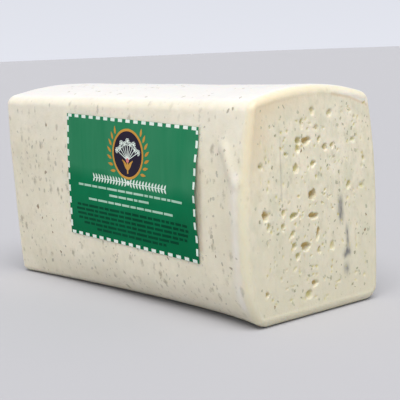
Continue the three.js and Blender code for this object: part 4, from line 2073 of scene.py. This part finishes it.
    def build(self, finishes: dict[str, bpy.types.Material]) -> None:
        """Lays every ink on the sheet.

        Args:
            finishes: the inks by name.
        """
        umbel_white, umbel_gold = self.umbel()
        captions = self.bars(self.caption_rows, self.caption_height, self.seed)
        fine_print = self.bars(self.fine_rows, self.fine_height, self.seed + 1)
        knot = disc((self.roundel[0], self.roundel[1] - self.fork_drop), self.knot_radius, 9)
        disc_rim = ring(self.roundel, *(self.roundel_radius + reach for reach in self.ring_reach))
        layers = (
            ("label_border", self.border(), 1, "white"),
            ("label_caption_bars", captions, 1, "thin_white"),
            ("label_fine_bars", fine_print, 1, "dark_green"),
            ("label_sprig", self.sprig(), 1, "white"),
            ("label_roundel", [disc(self.roundel, self.roundel_radius, 33)], 1, "night"),
            ("label_roundel_ring", [disc_rim, *self.wreath()], 2, "gold"),
            ("label_umbel_stem", umbel_gold, 2, "gold"),
            ("label_umbel", umbel_white, 3, "white"),
            ("label_umbel_knot", [knot], 4, "rose"),
        )
        for name, shapes, layer, ink in layers:
            mesh = self.label.ink_mesh(name, shapes, layer)
            Piece(name, mesh, finishes[ink], "label").place()


@dataclass
class Studio:
    """The pale floor, the soft light, the pale surround and the camera."""

    azimuth: float = 49.74
    elevation: float = 8.35
    roll: float = -0.0386
    distance: float = 0.7078
    aim_across: float = 0.0141
    aim_up: float = 0.0583
    focal_pixels: float = 1025.5
    frame_pixels: float = 400.0
    sensor: float = 36.0
    floor_size: float = 60.0
    sun_strength: float = 3.1
    sun_angle: float = 50.0
    sun_from: tuple[float, float, float] = (0.40, -0.30, 1.0)
    sun_colour: Colour = (1.0, 0.98, 0.95)
    floor_colour: Colour = (0.45, 0.45, 0.47)
    floor_roughness: float = 0.8
    floor_gloss: float = 0.1
    surround: Colour = (0.90, 0.92, 1.0)
    horizon_strength: float = 0.86
    zenith_strength: float = 0.54
    zenith_level: float = 0.6

    def camera(self, shift_across: float) -> None:
        """The camera at the photograph's angle.

        Its back vector is (sin a cos e, -cos a cos e, sin e), and it is rolled about it.

        Args:
            shift_across: how far across the loaf stands from its own middle, in metres.
        """
        a, e = math.radians(self.azimuth), math.radians(self.elevation)
        back = Vector((math.sin(a) * math.cos(e), -math.cos(a) * math.cos(e), math.sin(e)))
        level = Vector((math.cos(a), math.sin(a), 0))
        upright = back.cross(level)
        right = level * math.cos(self.roll) + upright * math.sin(self.roll)
        up = upright * math.cos(self.roll) - level * math.sin(self.roll)
        aim = level * self.aim_across + Vector((0, shift_across, self.aim_up))
        place = aim + back * self.distance
        data = bpy.data.cameras.new("view")
        data.sensor_width = self.sensor
        data.lens = self.sensor * self.focal_pixels / self.frame_pixels
        data.clip_start = 0.01
        camera = bpy.data.objects.new("view", data)
        columns = Matrix((right, up, back)).transposed().to_4x4()
        camera.matrix_world = Matrix.Translation(place) @ columns
        bpy.context.scene.collection.objects.link(camera)
        bpy.context.scene.camera = camera

    def sun(self) -> None:
        """One broad soft light from above, in front of the labelled side."""
        data = bpy.data.lights.new("key", "SUN")
        data.energy = self.sun_strength
        data.angle = math.radians(self.sun_angle)
        data.color = self.sun_colour
        light = bpy.data.objects.new("key", data)
        light.rotation_mode = "QUATERNION"
        light.rotation_quaternion = Vector(self.sun_from).to_track_quat("Z", "Y")
        bpy.context.scene.collection.objects.link(light)

    def floor(self) -> None:
        """A plain pale floor that runs to the horizon."""
        half = self.floor_size / 2
        corners = np.array([(-half, -half, 0), (half, -half, 0), (half, half, 0), (-half, half, 0)])
        mesh = new_mesh("floor", corners, np.array([[0, 1, 2, 3]]), NO_FACES_3)
        material, _, surface = start_material("pale_floor")
        surface.inputs["Base Color"].default_value = (*self.floor_colour, 1)
        surface.inputs["Roughness"].default_value = self.floor_roughness
        surface.inputs["Specular IOR Level"].default_value = self.floor_gloss
        mesh.materials.append(material)
        floor = bpy.data.objects.new("floor", mesh)
        bpy.context.scene.collection.objects.link(floor)

    def world(self) -> None:
        """A pale surround, brightest at the horizon."""
        world = bpy.data.worlds.new("surround")
        world.use_nodes = True
        shader = Shader(world.node_tree)
        background = world.node_tree.nodes["Background"]
        background.inputs["Color"].default_value = (*self.surround, 1)
        way = shader.node("ShaderNodeSeparateXYZ")
        shader.feed(way.inputs[0], shader.node("ShaderNodeTexCoord").outputs["Generated"])
        strengths = (self.horizon_strength, self.zenith_strength)
        strength = shader.between(way.outputs["Z"], 0, self.zenith_level, *strengths)
        shader.feed(background.inputs["Strength"], strength)
        bpy.context.scene.world = world

    def build(self, shift_across: float) -> None:
        """Sets up the camera, floor, surround and light.

        Args:
            shift_across: how far across the loaf stands from its own middle, in metres.
        """
        self.camera(shift_across)
        self.floor()
        self.world()
        bpy.context.scene.view_settings.view_transform = "Standard"
        self.sun()


def dress_cheese(loaf: Loaf, label: Label, mottle: bpy.types.NodeTree) -> None:
    """Makes the cheese's fine skin and the flakes of dill in it.

    Args:
        loaf: the loaf's form.
        label: tells where the wall is covered.
        mottle: the shared cloudy variation.
    """
    points, quads, triangles, attributes = loaf.skin()
    mesh = new_mesh("cheese_skin", loaf.to_frame(points), quads, triangles)
    for name, values in attributes.items():
        set_values(mesh, name, values)
    skin = Piece("cheese_skin", mesh, PasteFinish().build(mottle), "cheese").place()
    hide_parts("cheese_block")
    veiled = HerbFinish("dill_under_skin", (0.59, 0.555, 0.44), (0.42, 0.385, 0.285)).build(mottle)
    bare = HerbFinish("dill_on_cut", (0.54, 0.52, 0.37), (0.33, 0.32, 0.20)).build(mottle)
    half = loaf.length / 2
    along = (-half + 8, half - 7)
    up = (10.0, 118.0)
    seed = loaf.seed
    strewn = (
        HerbFlakes("dill_label_wall", loaf.label_wall, along, up, 210, seed + 31, 0.45,
                   keep_off=label.covers, placed=WALL_FLAKES),
        HerbFlakes("dill_rear_wall", loaf.rear_wall, along, up, 210, seed + 32, 0.45, outward=-1.0),
        HerbFlakes("dill_top", loaf.top_face, along, (-46, 42), 100, seed + 33, 0.1),
        HerbFlakes("dill_far_end", loaf.moulded_face, (-44, 44), (12, 118), 110, seed + 34, 0.4,
                   outward=-1.0),
    )
    for flakes in strewn:
        Piece(flakes.name, flakes.mesh(loaf), veiled, "cheese").place()
    on_cut = HerbFlakes(
        "dill_cut_end", loaf.cut_end, (-50, 48), (5, 127), 270, seed + 35, 0.72,
        length=(0.8, 3.8), placed=CUT_FLAKES,
        keep_off=lambda u, v: loaf.cut_face.relief(u, v)[1] > 0,
    )
    Piece(on_cut.name, on_cut.mesh(loaf), bare, "cheese").place()


def dress_label(label: Label, film: bpy.types.NodeTree) -> None:
    """Makes the label's sheet and its print.

    Args:
        label: the sheet and its place.
        film: the shared film ripples.
    """
    # The green film, with a painted reflection over its upper part and painted shade toward its
    # foot.
    green = FilmFinish(
        "label_green_film", (0.003, 0.158, 0.060), (0.004, 0.190, 0.076),
        reflected_colour=(0.034, 0.222, 0.104),
    )
    sheet = Piece("label_sheet", label.sheet_mesh(), green.build(film), "label").place()
    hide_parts("label")
    inks = {
        "white": FilmFinish("label_white_ink", (0.70, 0.82, 0.72), (0.78, 0.86, 0.78)),
        "thin_white": FilmFinish("label_thin_white_ink", (0.34, 0.56, 0.42), (0.46, 0.66, 0.53)),
        "dark_green": FilmFinish("label_dark_ink", (0.001, 0.056, 0.025), (0.002, 0.074, 0.033)),
        "night": FilmFinish("label_night_ink", (0.02, 0.016, 0.03), (0.03, 0.024, 0.04)),
        "gold": FilmFinish("label_gold_ink", (0.52, 0.25, 0.04), (0.60, 0.32, 0.07)),
        "rose": FilmFinish("label_rose_ink", (0.62, 0.16, 0.18), (0.66, 0.22, 0.22)),
    }
    Print(label).build({name: ink.build(film) for name, ink in inks.items()})


def main() -> None:
    """Builds the loaf, its label and the studio, and keeps the imported cheese block and label
    hidden.
    """
    logging.basicConfig(level=logging.INFO, format="%(name)s %(message)s")
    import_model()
    mottle, film = mottle_group(), film_group()
    loaf = Loaf()
    label = Label(loaf)
    dress_cheese(loaf, label, mottle)
    dress_label(label, film)
    Studio().build(loaf.middle_across * MM)


if __name__ == "__main__":
    main()
